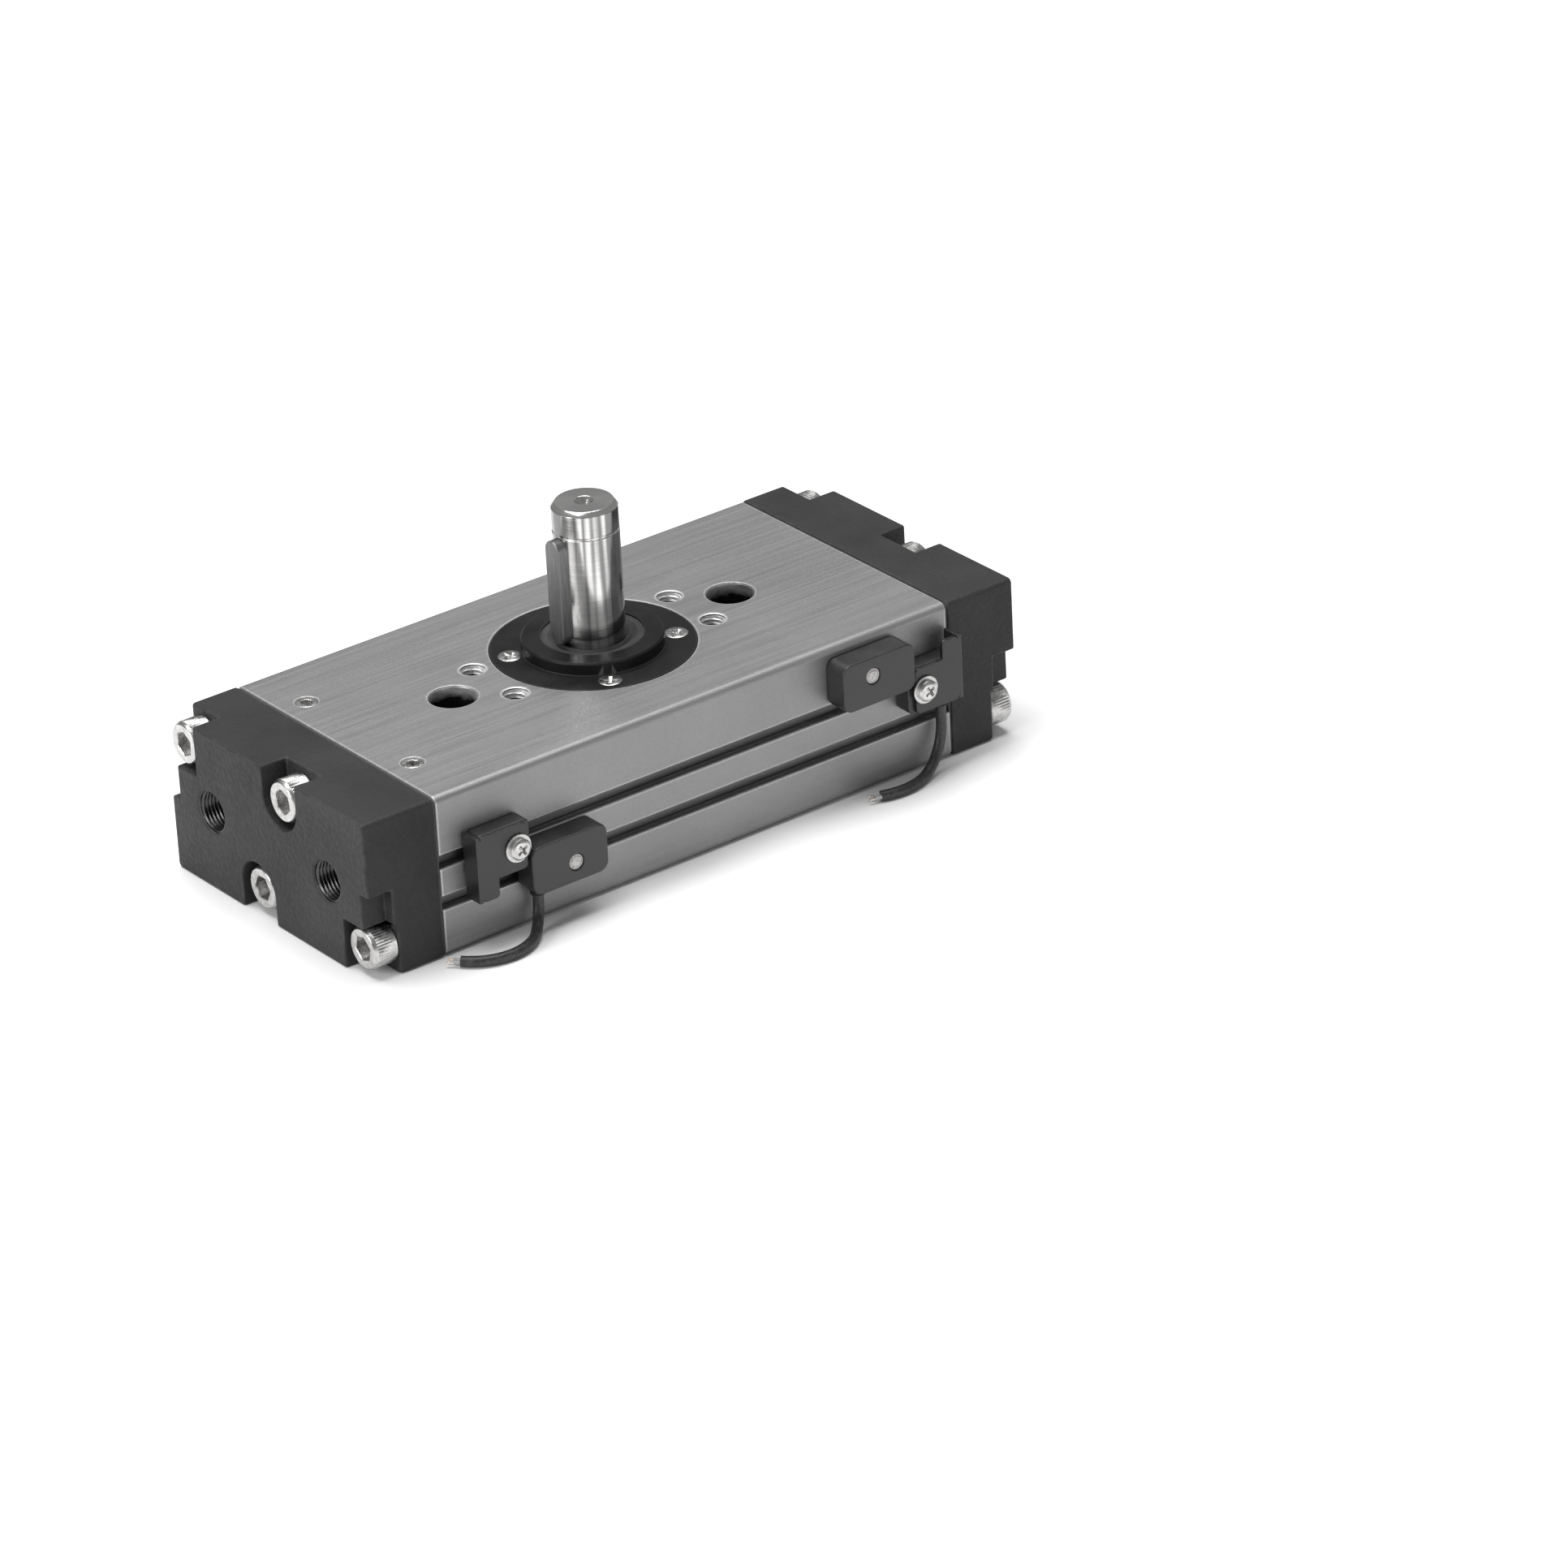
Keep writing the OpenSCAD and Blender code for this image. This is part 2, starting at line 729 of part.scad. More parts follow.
// Bent clamp plate over the block, with a leg down its outer end
module switch_bracket() {
    color([0.05, 0.05, 0.05]) difference() {
        union() {
            outward(block_out, plate_out) {
                translate([-3.6, 0]) soft_rect(12.2, 11, 1);
                translate([-7.5, -5]) soft_rect(4.4, 10, 1);
            }
            outward(0.6, plate_out) translate([-9.65, -2.25]) square([0.1, 15.5], center = true);
            outward(0.6, plate_out) translate([-10.2, -2.25]) square([1, 15.5], center = true);
        }
        translate([0, 1, 0]) rotate([90, 0, 0]) cylinder(r = 1.45, h = 10, $fn = 32);
    }
}

// Pan-head clamp screw with a cross recess
module switch_screw() {
    color("white") difference() {
        union() {
            outward(plate_out, plate_out + 0.5) circle(r = 3.3, $fn = 48);
            outward(plate_out + 0.5, plate_out + 1.9) circle(r = 2.5, $fn = 48);
            outward(-slot_depth + 0.2, plate_out + 1) circle(r = 1.25, $fn = 32);
        }
        for (a = [0, 90]) outward(plate_out + 1, plate_out + 3) rotate(a + 35)
            square([2.8, 0.6], center = true);
    }
}

// Square nut inside the T slot
module switch_nut() {
    color("silver") difference() {
        outward(-slot_depth + 0.4, -lip - 0.4) soft_rect(6, 4.3, 0.4);
        outward(-slot_depth, 0) circle(r = 1.25, $fn = 32);
    }
}

module switch_lamp() {
    color("darkred") outward(sensor_out - 1, sensor_out - 0.1) translate([14.6, -8.4])
        circle(r = 1.8, $fn = 32);
}

// Short rubber sleeve where the lead leaves the case: z0 is the case face, dir points outwards
module switch_grommet(gland_x, z0, dir) {
    color([0.08, 0.08, 0.08]) translate([gland_x, -lead_out, z0]) rotate([dir > 0 ? 0 : 180, 0, 0])
        cylinder(r1 = 1.95, r2 = 1.7, h = gland_h, $fn = 32);
}

module near_switch_case() {
    at_near() switch_case();
}

module near_switch_bracket() {
    at_near() switch_bracket();
}

module near_switch_screw() {
    at_near() switch_screw();
}

module near_switch_nut() {
    at_near() switch_nut();
}

module near_switch_lamp() {
    at_near() switch_lamp();
}

module near_switch_grommet() {
    at_near() switch_grommet(near_gland_x, -sensor_drop, -1);
}

module far_switch_case() {
    at_far() switch_case();
}

module far_switch_bracket() {
    at_far() switch_bracket();
}

module far_switch_screw() {
    at_far() switch_screw();
}

module far_switch_nut() {
    at_far() switch_nut();
}

module far_switch_lamp() {
    at_far() switch_lamp();
}

module far_switch_grommet() {
    at_far() switch_grommet(far_gland_x, 5.5, 1);
}

// ---------- leads ----------

function unit(v) = v / norm(v);
function heading(path, i) = unit(path[min(i + 1, len(path) - 1)] - path[max(i - 1, 0)]);
// The part of v square to t, at unit length
function square_to(v, t) = unit(v - (v * t) * t);

// A tube of radius r through the points of path, with flat ends
module tube(path, r, sides = 8) {
    last = len(path) - 1;
    sideways = [for (i = 0, n = square_to([0, 1, 0.2], heading(path, 0)); i <= last;
        i = i + 1, n = square_to(n, heading(path, min(i, last)))) n];
    points = [for (i = [0:last], k = [0:sides - 1])
        let (t = heading(path, i), n = sideways[i], b = cross(t, n), a = 360 * k / sides + 22.5)
        path[i] + r * (cos(a) * n + sin(a) * b)];
    walls = [for (i = [0:last - 1], k = [0:sides - 1]) let (j = (k + 1) % sides)
        [i * sides + k, (i + 1) * sides + k, (i + 1) * sides + j, i * sides + j]];
    start = [for (k = [0:sides - 1]) k];
    stop = [for (k = [0:sides - 1]) last * sides + sides - 1 - k];
    polyhedron(points = points, faces = concat(walls, [start, stop]), convexity = 6);
}

// Two stripped cores that stand out of the end of a lead
module cores(path) {
    last = len(path) - 1;
    t = unit(path[last] - path[last - 1]);
    side = cross(t, [0, 0, 1]);
    for (k = [-1, 1]) {
        from = path[last] + 0.55 * k * side;
        tube([from, from + 1.5 * t + 0.1 * k * side, from + 3 * t + 0.3 * k * side], 0.35);
    }
}

module near_lead() {
    color([0.1, 0.1, 0.1]) tube(near_route, lead_d / 2);
}

module near_lead_cores() {
    color("silver") cores(near_route);
}

module far_lead() {
    color([0.1, 0.1, 0.1]) tube(far_route, lead_d / 2);
}

module far_lead_cores() {
    color("silver") cores(far_route);
}

// ---------- nodes ----------

body_extrusion();
port_end_cover();
blind_end_cover();
port_end_gasket();
blind_end_gasket();
port_end_screws();
blind_end_screws();
port_end_bumpers();
blind_end_bumpers();
bearing_retainer();
retainer_screws();
retainer_o_ring();
shaft_seal();
top_bearing_outer_race();
bottom_bearing_outer_race();
bottom_cap();
snap_ring();
bleed_plugs();
pinion_shaft();
shaft_key();
top_bearing_inner_race();
bottom_bearing_inner_race();
top_bearing_cage();
top_bearing_balls();
bottom_bearing_cage();
bottom_bearing_balls();
near_rack_piston();
near_piston_seals();
near_wear_rings();
near_magnets();
far_rack_piston();
far_piston_seals();
far_wear_rings();
near_switch_case();
near_switch_bracket();
near_switch_screw();
near_switch_nut();
near_switch_lamp();
near_switch_grommet();
near_lead();
near_lead_cores();
far_switch_case();
far_switch_bracket();
far_switch_screw();
far_switch_nut();
far_switch_lamp();
far_switch_grommet();
far_lead();
far_lead_cores();
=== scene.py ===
"""Looks of the rotary pneumatic actuator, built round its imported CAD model. All lengths are in metres."""

import json
import math

import bmesh
import bpy
from mathutils import Matrix, Vector


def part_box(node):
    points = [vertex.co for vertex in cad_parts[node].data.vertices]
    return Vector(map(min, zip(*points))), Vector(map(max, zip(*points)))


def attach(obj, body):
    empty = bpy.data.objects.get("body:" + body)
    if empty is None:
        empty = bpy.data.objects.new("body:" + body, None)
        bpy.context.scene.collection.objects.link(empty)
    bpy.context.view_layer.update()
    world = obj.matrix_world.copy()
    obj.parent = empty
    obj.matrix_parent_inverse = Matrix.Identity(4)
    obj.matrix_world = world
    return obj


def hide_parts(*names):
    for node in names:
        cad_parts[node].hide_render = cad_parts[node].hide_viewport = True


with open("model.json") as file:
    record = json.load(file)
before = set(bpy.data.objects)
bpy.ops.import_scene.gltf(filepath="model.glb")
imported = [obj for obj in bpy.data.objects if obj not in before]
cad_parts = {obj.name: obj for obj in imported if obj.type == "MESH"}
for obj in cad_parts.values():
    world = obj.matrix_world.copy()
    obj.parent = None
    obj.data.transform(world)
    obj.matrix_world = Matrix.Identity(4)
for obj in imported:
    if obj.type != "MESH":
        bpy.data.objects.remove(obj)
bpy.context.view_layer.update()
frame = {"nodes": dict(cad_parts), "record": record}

MM = 0.001
X_AXIS = Vector((1, 0, 0))
Y_AXIS = Vector((0, 1, 0))
Z_AXIS = Vector((0, 0, 1))


# ---------- camera ----------

CAMERA_PLACE = (-0.8849564575, -1.2712111724, 0.7858148074)
CAMERA_RIGHT = (0.7901606, -0.6110619, -0.0474298)
CAMERA_UP = (0.3103527, 0.3321808, 0.8906947)
CAMERA_BACK = (-0.5285144, -0.7185118, 0.4521209)
CAMERA_LENS = 179.12
CAMERA_SENSOR = 36


def add_camera():
    data = bpy.data.cameras.new("camera")
    data.lens = CAMERA_LENS
    data.sensor_width = CAMERA_SENSOR
    data.clip_start = 0.05
    data.clip_end = 50
    camera = bpy.data.objects.new("camera", data)
    columns = Matrix((CAMERA_RIGHT, CAMERA_UP, CAMERA_BACK)).transposed()
    camera.matrix_world = Matrix.Translation(CAMERA_PLACE) @ columns.to_4x4()
    bpy.context.scene.collection.objects.link(camera)
    bpy.context.scene.camera = camera


# ---------- materials ----------


class Surface:
    """A Principled material driven by nodes in the piece's own coordinates."""

    def __init__(self, name, **uniform):
        self.material = bpy.data.materials.new(name)
        self.material.use_nodes = True
        self.tree = self.material.node_tree
        self.shader = self.tree.nodes["Principled BSDF"]
        self.place = self.add("ShaderNodeTexCoord").outputs["Object"]
        for socket, value in uniform.items():
            self.shader.inputs[socket.replace("_", " ")].default_value = value

    def add(self, kind, **properties):
        node = self.tree.nodes.new(kind)
        for key, value in properties.items():
            setattr(node, key, value)
        return node

    def feed(self, node, socket, value):
        if isinstance(value, bpy.types.NodeSocket):
            self.tree.links.new(value, node.inputs[socket])
        else:
            node.inputs[socket].default_value = value

    def stretched(self, stretch):
        node = self.add("ShaderNodeMapping")
        self.feed(node, "Vector", self.place)
        node.inputs["Scale"].default_value = stretch
        return node.outputs["Vector"]

    def noise(self, size, detail=3.0, stretch=None, roughness=0.5):
        """Noise whose blobs are about size across; stretch divides that size along each axis."""
        node = self.add("ShaderNodeTexNoise")
        self.feed(node, "Vector", self.stretched(stretch) if stretch else self.place)
        node.inputs["Scale"].default_value = 1 / size
        node.inputs["Detail"].default_value = detail
        node.inputs["Roughness"].default_value = roughness
        return node.outputs["Fac"]

    def cells(self, size):
        node = self.add("ShaderNodeTexVoronoi")
        self.feed(node, "Vector", self.place)
        node.inputs["Scale"].default_value = 1 / size
        return node.outputs["Distance"]

    def spread(self, value, low, high, out_low=0.0, out_high=1.0):
        node = self.add("ShaderNodeMapRange")
        self.feed(node, "Value", value)
        node.inputs["From Min"].default_value = low
        node.inputs["From Max"].default_value = high
        node.inputs["To Min"].default_value = out_low
        node.inputs["To Max"].default_value = out_high
        return node.outputs["Result"]

    def maths(self, operation, a, b):
        node = self.add("ShaderNodeMath", operation=operation)
        self.feed(node, 0, a)
        self.feed(node, 1, b)
        return node.outputs["Value"]

    def blend(self, share, low, high):
        """A colour between low and high, each a colour or another blend."""
        node = self.add("ShaderNodeMix", data_type="RGBA")
        self.feed(node, 0, share)
        self.feed(node, 6, low if isinstance(low, bpy.types.NodeSocket) else (*low, 1))
        self.feed(node, 7, high if isinstance(high, bpy.types.NodeSocket) else (*high, 1))
        return node.outputs[2]

    def edges(self, radius):
        """1 on sharp edges, 0 elsewhere."""
        rounded = self.add("ShaderNodeBevel", samples=4)
        rounded.inputs["Radius"].default_value = radius
        geometry = self.add("ShaderNodeNewGeometry")
        dot = self.add("ShaderNodeVectorMath", operation="DOT_PRODUCT")
        self.feed(dot, 0, rounded.outputs["Normal"])
        self.feed(dot, 1, geometry.outputs["Normal"])
        return self.spread(dot.outputs["Value"], 0.99, 0.85)

    def upright(self):
        """1 on faces that look along the piece's Z axis, 0 on its sides."""
        normal = self.place.node.outputs["Normal"]
        parts = self.add("ShaderNodeSeparateXYZ")
        self.feed(parts, "Vector", normal)
        return self.maths("ABSOLUTE", parts.outputs["Z"], 0.0)

    def colour(self, value):
        self.feed(self.shader, "Base Color", value)

    def roughness(self, value):
        self.feed(self.shader, "Roughness", value)

    def relief(self, height, depth, below=None):
        """Bump, depth metres high in full; returns its normal, for finer relief to lie on."""
        node = self.add("ShaderNodeBump")
        self.feed(node, "Height", height)
        node.inputs["Distance"].default_value = depth
        if below is not None:
            self.feed(node, "Normal", below)
        self.feed(self.shader, "Normal", node.outputs["Normal"])
        return node.outputs["Normal"]


def grey(level, warm=0.0):
    return (level * (1 + warm), level, level * (1 - warm))


def anodised_aluminium():
    """Extruded body: blasted grain, faint streaks along the extrusion, edges lightened as a painted
    highlight.
    """
    s = Surface("anodised_aluminium", Metallic=0.7)
    streaks = s.noise(0.0009, 4, (0.02, 1, 1))
    clouds = s.noise(0.02, 3)
    grain = s.noise(0.00022, 2)
    base = s.blend(s.spread(streaks, 0.3, 0.7), grey(0.24), grey(0.27))
    base = s.blend(s.spread(clouds, 0.35, 0.7, 0.0, 0.5), base, grey(0.29, 0.005))
    # Painted highlight: the sharp edges are lightened towards bright grey.
    base = s.blend(s.maths("MULTIPLY", s.edges(0.0008), 0.85), base, grey(0.85))
    s.colour(s.blend(s.spread(grain, 0.58, 0.7, 0.0, 0.3), base, grey(0.15)))
    s.roughness(s.spread(s.maths("ADD", streaks, grain), 0.7, 1.3, 0.38, 0.54))
    coarse = s.relief(streaks, 0.00002)
    s.relief(grain, 0.00006, coarse)
    return s.material


# Heights between which painted shade turns the holes in the top face from bright to dark
UNSHADED_ABOVE = 0.0364
SHADED_BELOW = 0.0348


def bored_aluminium():
    """Cut faces of the holes: bright bare metal at the rim, partly a painted highlight, painted shade
    further down, with tool rings.
    """
    s = Surface("bored_aluminium", Metallic=0.9)
    rings = s.noise(0.0005, 3, (0.2, 0.2, 3))
    patches = s.noise(0.002, 3)
    height = s.add("ShaderNodeSeparateXYZ")
    s.feed(height, "Vector", s.place)
    # Painted shade: below these heights the cut faces turn near black, with a ragged edge.
    shade_depth = s.maths("ADD", height.outputs["Z"], s.spread(patches, 0.3, 0.7, -0.0004, 0.0004))
    base = s.blend(s.spread(rings, 0.3, 0.7), grey(0.8), grey(0.95))
    s.colour(s.blend(s.spread(shade_depth, UNSHADED_ABOVE, SHADED_BELOW), base, grey(0.03)))
    s.roughness(s.spread(s.maths("ADD", rings, patches), 0.7, 1.3, 0.35, 0.5))
    s.relief(rings, 0.00002)
    return s.material


def cover_paint():
    """Die-cast covers: dark satin coat with cast orange peel, dust in the grain, thin worn edges."""
    s = Surface("cover_paint", Specular_IOR_Level=0.14, Coat_Weight=0.04, Coat_Roughness=0.35)
    peel = s.noise(0.0012, 3)
    grain = s.noise(0.00025, 2)
    clouds = s.noise(0.02, 3)
    wear = s.maths("MULTIPLY", s.edges(0.0007), s.spread(s.noise(0.0035, 4), 0.42, 0.62))
    base = s.blend(s.spread(clouds, 0.3, 0.7), grey(0.024), grey(0.038))
    base = s.blend(s.spread(grain, 0.55, 0.75, 0.0, 0.4), base, grey(0.07))
    s.colour(s.blend(s.maths("MULTIPLY", wear, 0.6), base, grey(0.2)))
    s.roughness(s.spread(peel, 0.3, 0.7, 0.46, 0.62))
    s.relief(grain, 0.00006, s.relief(peel, 0.00022))
    return s.material


def retainer_paint():
    """Black-oxide retainer: deep satin black with turned rings and rubbed edges."""
    s = Surface("retainer_paint", Specular_IOR_Level=0.22)
    grain = s.noise(0.0003, 3)
    clouds = s.noise(0.006, 3)
    base = s.blend(s.spread(clouds, 0.3, 0.7), grey(0.005), grey(0.01))
    s.colour(s.blend(s.maths("MULTIPLY", s.edges(0.0004), 0.5), base, grey(0.12)))
    s.roughness(s.spread(s.maths("ADD", grain, clouds), 0.7, 1.3, 0.32, 0.5))
    s.relief(grain, 0.00003, s.relief(turned_rings(s, 0.0004), 0.00003))
    return s.material


# Distance between the rings of a wave texture at scale 1
WAVE_SPACING = 0.31


def turned_rings(s, pitch):
    """Fine rings round the Z axis, as a turning tool leaves on a flat face."""
    node = s.add("ShaderNodeTexWave", wave_type="RINGS", rings_direction="Z")
    s.feed(node, "Vector", s.place)
    node.inputs["Scale"].default_value = WAVE_SPACING / pitch
    node.inputs["Distortion"].default_value = 0.4
    node.inputs["Detail"].default_value = 2
    return node.outputs["Fac"]


def ground_steel():
    """Output shaft: bright ground steel with fine lines round its axis, and dark bands along its sides as
    painted reflections.
    """
    s = Surface("ground_steel", Metallic=1.0, Anisotropic=0.4)
    tangent = s.add("ShaderNodeTangent", direction_type="RADIAL", axis="Z")
    s.feed(s.shader, "Tangent", tangent.outputs["Tangent"])
    lines = s.noise(0.0012, 3, (0.05, 0.05, 4))
    dark_reflection_bands = s.noise(0.0028, 2, (1, 1, 0.03))
    smear = s.noise(0.004, 3, (1, 1, 0.5))
    base = s.blend(s.spread(lines, 0.3, 0.7), grey(0.68, 0.01), grey(0.86, 0.01))
    # Painted reflection: dark bands down the shaft's sides, kept off its end face.
    facing_out = s.spread(s.upright(), 0.3, 0.7, 0.9, 0.0)
    base = s.blend(s.maths("MULTIPLY", s.spread(dark_reflection_bands, 0.44, 0.56), facing_out), base, grey(0.16))
    s.colour(s.blend(s.spread(smear, 0.55, 0.8, 0.0, 0.3), base, grey(0.48)))
    s.roughness(s.spread(s.maths("ADD", lines, smear), 0.7, 1.3, 0.13, 0.2))
    s.relief(lines, 0.000002)
    return s.material


def key_steel():
    """Key: drawn steel, greyer than the shaft, with lengthwise draw marks and a light oil stain."""
    s = Surface("key_steel", Metallic=0.85)
    marks = s.noise(0.0008, 4, (4, 4, 0.15))
    stain = s.noise(0.003, 4)
    base = s.blend(s.spread(marks, 0.3, 0.7), grey(0.14), grey(0.24))
    s.colour(s.blend(s.maths("MULTIPLY", s.edges(0.0004), 0.8), base, grey(0.55)))
    s.roughness(s.spread(s.maths("ADD", marks, stain), 0.7, 1.3, 0.3, 0.5))
    s.relief(marks, 0.00002)
    return s.material


def plated_steel():
    """Screws, nuts and plugs: bright zinc plate, patchy, with tool marks."""
    s = Surface("plated_steel", Metallic=1.0)
    patches = s.noise(0.0012, 4)
    grain = s.noise(0.00018, 2)
    base = s.blend(s.spread(patches, 0.3, 0.7), grey(0.42, 0.012), grey(0.66, 0.008))
    s.colour(s.blend(s.spread(grain, 0.62, 0.74, 0.0, 0.5), base, grey(0.28)))
    s.roughness(s.spread(s.maths("ADD", patches, grain), 0.7, 1.3, 0.2, 0.38))
    s.relief(grain, 0.00003)
    return s.material


def machined_steel(name, low, high, rough):
    """Inner steel parts: fine grinding lines and a light oil film."""
    s = Surface(name, Metallic=0.95)
    lines = s.noise(0.0006, 3, (0.3, 1, 3))
    film = s.noise(0.005, 3)
    s.colour(s.blend(s.spread(lines, 0.3, 0.7), grey(low), grey(high)))
    s.roughness(s.spread(s.maths("ADD", lines, film), 0.7, 1.3, rough - 0.08, rough + 0.1))
    s.relief(lines, 0.00001)
    return s.material


def soft_rubber(name, level):
    """Rubber: near black, matt, with a bloom of dust and a fine moulded skin."""
    s = Surface(name, Sheen_Weight=0.15, Sheen_Roughness=0.5)
    skin = s.noise(0.0003, 3)
    bloom = s.noise(0.004, 4)
    s.colour(s.blend(s.spread(bloom, 0.35, 0.75), grey(level), grey(level * 1.9)))
    s.roughness(s.spread(skin, 0.3, 0.7, 0.55, 0.72))
    s.relief(skin, 0.00004)
    return s.material


def gasket_sheet():
    """Gasket: black sheet with short fibres in it."""
    s = Surface("gasket")
    fibres = s.noise(0.0004, 5, (0.4, 2, 1))
    s.colour(s.blend(s.spread(fibres, 0.3, 0.7), grey(0.03), grey(0.075, 0.03)))
    s.roughness(s.spread(fibres, 0.3, 0.7, 0.6, 0.85))
    s.relief(fibres, 0.00005)
    return s.material


def moulded_plastic(name, level, rough, tint=0.0):
    """Moulded plastic: spark-eroded skin, slight gloss changes, edges rubbed lighter."""
    s = Surface(name, Coat_Weight=0.08, Coat_Roughness=0.3)
    skin = s.cells(0.00022)
    flow = s.noise(0.005, 3)
    base = s.blend(s.spread(flow, 0.3, 0.7), grey(level, tint), grey(level * 1.5, tint))
    s.colour(s.blend(s.maths("MULTIPLY", s.edges(0.0003), 0.3), base, grey(level * 3 + 0.03)))
    s.roughness(s.spread(flow, 0.3, 0.7, rough - 0.06, rough + 0.08))
    s.relief(skin, 0.00003)
    return s.material


def lamp_plastic():
    """Indicator lens: smoked clear plastic over a pale reflector."""
    s = Surface("lamp_plastic", Coat_Weight=0.8, Coat_Roughness=0.05, IOR=1.5)
    rings = s.cells(0.0004)
    s.colour(s.blend(s.spread(rings, 0.1, 0.6), (0.2, 0.19, 0.185), (0.5, 0.48, 0.47)))
    s.roughness(s.spread(rings, 0.1, 0.6, 0.12, 0.25))
    s.relief(rings, 0.00003)
    return s.material


def lead_jacket():
    """Lead: soft black vinyl with faint drawing lines and dust."""
    s = Surface("lead_jacket", Coat_Weight=0.1, Coat_Roughness=0.35)
    dust = s.noise(0.0009, 4)
    skin = s.noise(0.0002, 2)
    s.colour(s.blend(s.spread(dust, 0.45, 0.8), grey(0.014), grey(0.05)))
    s.roughness(s.spread(dust, 0.3, 0.7, 0.38, 0.55))
    s.relief(skin, 0.00003)
    return s.material


def tinned_copper():
    """Stripped core strands."""
    s = Surface("tinned_copper", Metallic=1.0)
    patches = s.noise(0.0004, 3)
    s.colour(s.blend(s.spread(patches, 0.35, 0.65), (0.62, 0.5, 0.4), grey(0.75)))
    s.roughness(s.spread(patches, 0.3, 0.7, 0.22, 0.4))
    s.relief(patches, 0.00001)
    return s.material


def core_sleeve():
    """Insulation of one core."""
    s = Surface("core_sleeve", Coat_Weight=0.2, Coat_Roughness=0.2)
    skin = s.noise(0.0004, 3)
    s.colour(s.blend(s.spread(skin, 0.3, 0.7), grey(0.3), grey(0.42)))
    s.roughness(s.spread(skin, 0.3, 0.7, 0.35, 0.5))
    s.relief(skin, 0.00002)
    return s.material


def make_materials():
    """One material for each slot of the record, by slot name."""
    return {
        "anodised_aluminium": anodised_aluminium(),
        "cover_paint": cover_paint(),
        "gasket": gasket_sheet(),
        "plated_steel": plated_steel(),
        "rubber": soft_rubber("rubber", 0.012),
        "retainer_paint": retainer_paint(),
        "bearing_steel": machined_steel("bearing_steel", 0.55, 0.75, 0.18),
        "cap_steel": machined_steel("cap_steel", 0.3, 0.46, 0.38),
        "spring_steel": machined_steel("spring_steel", 0.06, 0.13, 0.36),
        "ground_steel": ground_steel(),
        "key_steel": key_steel(),
        "cage_plastic": moulded_plastic("cage_plastic", 0.35, 0.45, 0.12),
        "rack_steel": machined_steel("rack_steel", 0.35, 0.55, 0.28),
        "wear_plastic": moulded_plastic("wear_plastic", 0.3, 0.5, 0.2),
        "magnet": moulded_plastic("magnet", 0.05, 0.42, 0.1),
        "switch_plastic": moulded_plastic("switch_plastic", 0.014, 0.4),
        "bracket_paint": moulded_plastic("bracket_paint", 0.009, 0.34),
        "lamp_plastic": lamp_plastic(),
        "lead_jacket": lead_jacket(),
        "tinned_copper": tinned_copper(),
    }


# ---------- shared shapes ----------


def new_piece(name, mesh, slot, body, *stands_for):
    piece = bpy.data.objects.new(name, mesh)
    bpy.context.scene.collection.objects.link(piece)
    mesh.materials.append(materials[slot])
    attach(piece, body)
    if stands_for:
        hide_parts(*stands_for)
    return piece


def shade(mesh, angle=30):
    """Smooth faces with sharp edges kept where they meet at more than angle degrees."""
    mesh.polygons.foreach_set("use_smooth", [True] * len(mesh.polygons))
    mesh.set_sharp_from_angle(angle=math.radians(angle))
    mesh.update()


def weigh_normals(piece):
    """Keeps flat faces flat next to their rounded edges."""
    modifier = piece.modifiers.new("flat_faces", "WEIGHTED_NORMAL")
    modifier.keep_sharp = True


def rounded_copy(node, slot, body, edge, angle=30, change=None):
    """A copy of a CAD node with its sharp edges rounded to radius edge; stands for the node."""
    bm = bmesh.new()
    bm.from_mesh(frame["nodes"][node].data)
    bmesh.ops.remove_doubles(bm, verts=bm.verts, dist=2e-6)
    bmesh.ops.dissolve_limit(
        bm, angle_limit=math.radians(0.4), verts=bm.verts, edges=bm.edges
    )
    if change:
        change(bm)
    sharp = [
        e
        for e in bm.edges
        if len(e.link_faces) == 2 and e.calc_face_angle(0) > math.radians(angle)
    ]
    bmesh.ops.bevel(
        bm,
        geom=sharp,
        offset=edge,
        offset_type="OFFSET",
        segments=2,
        profile=0.5,
        affect="EDGES",
        clamp_overlap=False,
        miter_outer="SHARP",
        miter_inner="SHARP",
    )
    bmesh.ops.triangulate(bm, faces=[f for f in bm.faces if len(f.verts) > 4])
    mesh = bpy.data.meshes.new(node + "_shape")
    bm.to_mesh(mesh)
    bm.free()
    shade(mesh, 40)
    piece = new_piece(node + "_piece", mesh, slot, body, node)
    weigh_normals(piece)


def turned(bm, rows, steps, place):
    """Adds a closed turned solid; rows are (height, radius or function of the angle)."""
    rings = []
    for height, radius in rows:
        ring = []
        for k in range(steps):
            angle = 2 * math.pi * k / steps
            r = radius(angle) if callable(radius) else radius
            ring.append(
                bm.verts.new(place @ Vector((r * math.cos(angle), r * math.sin(angle), height)))
            )
        rings.append(ring)
    for low, high in zip(rings, rings[1:]):
        for k in range(steps):
            j = (k + 1) % steps
            bm.faces.new((low[k], low[j], high[j], high[k]))
    bm.faces.new(reversed(rings[0]))
    bm.faces.new(rings[-1])


def facing(origin, axis, turn=0.0):
    """The matrix that stands a turned solid at origin with its height along axis."""
    quaternion = Vector(axis).to_track_quat("Z", "Y")
    return Matrix.Translation(origin) @ quaternion.to_matrix().to_4x4() @ Matrix.Rotation(turn, 4, "Z")


def finish_mesh(bm, name, angle=35):
    bmesh.ops.recalc_face_normals(bm, faces=bm.faces)
    mesh = bpy.data.meshes.new(name + "_shape")
    bm.to_mesh(mesh)
    bm.free()
    shade(mesh, angle)
    return mesh


def hexagon(across):
    """Radius of a hexagon at an angle, for its width across flats."""
    return lambda angle: across / 2 / math.cos((angle % (math.pi / 3)) - math.pi / 6)


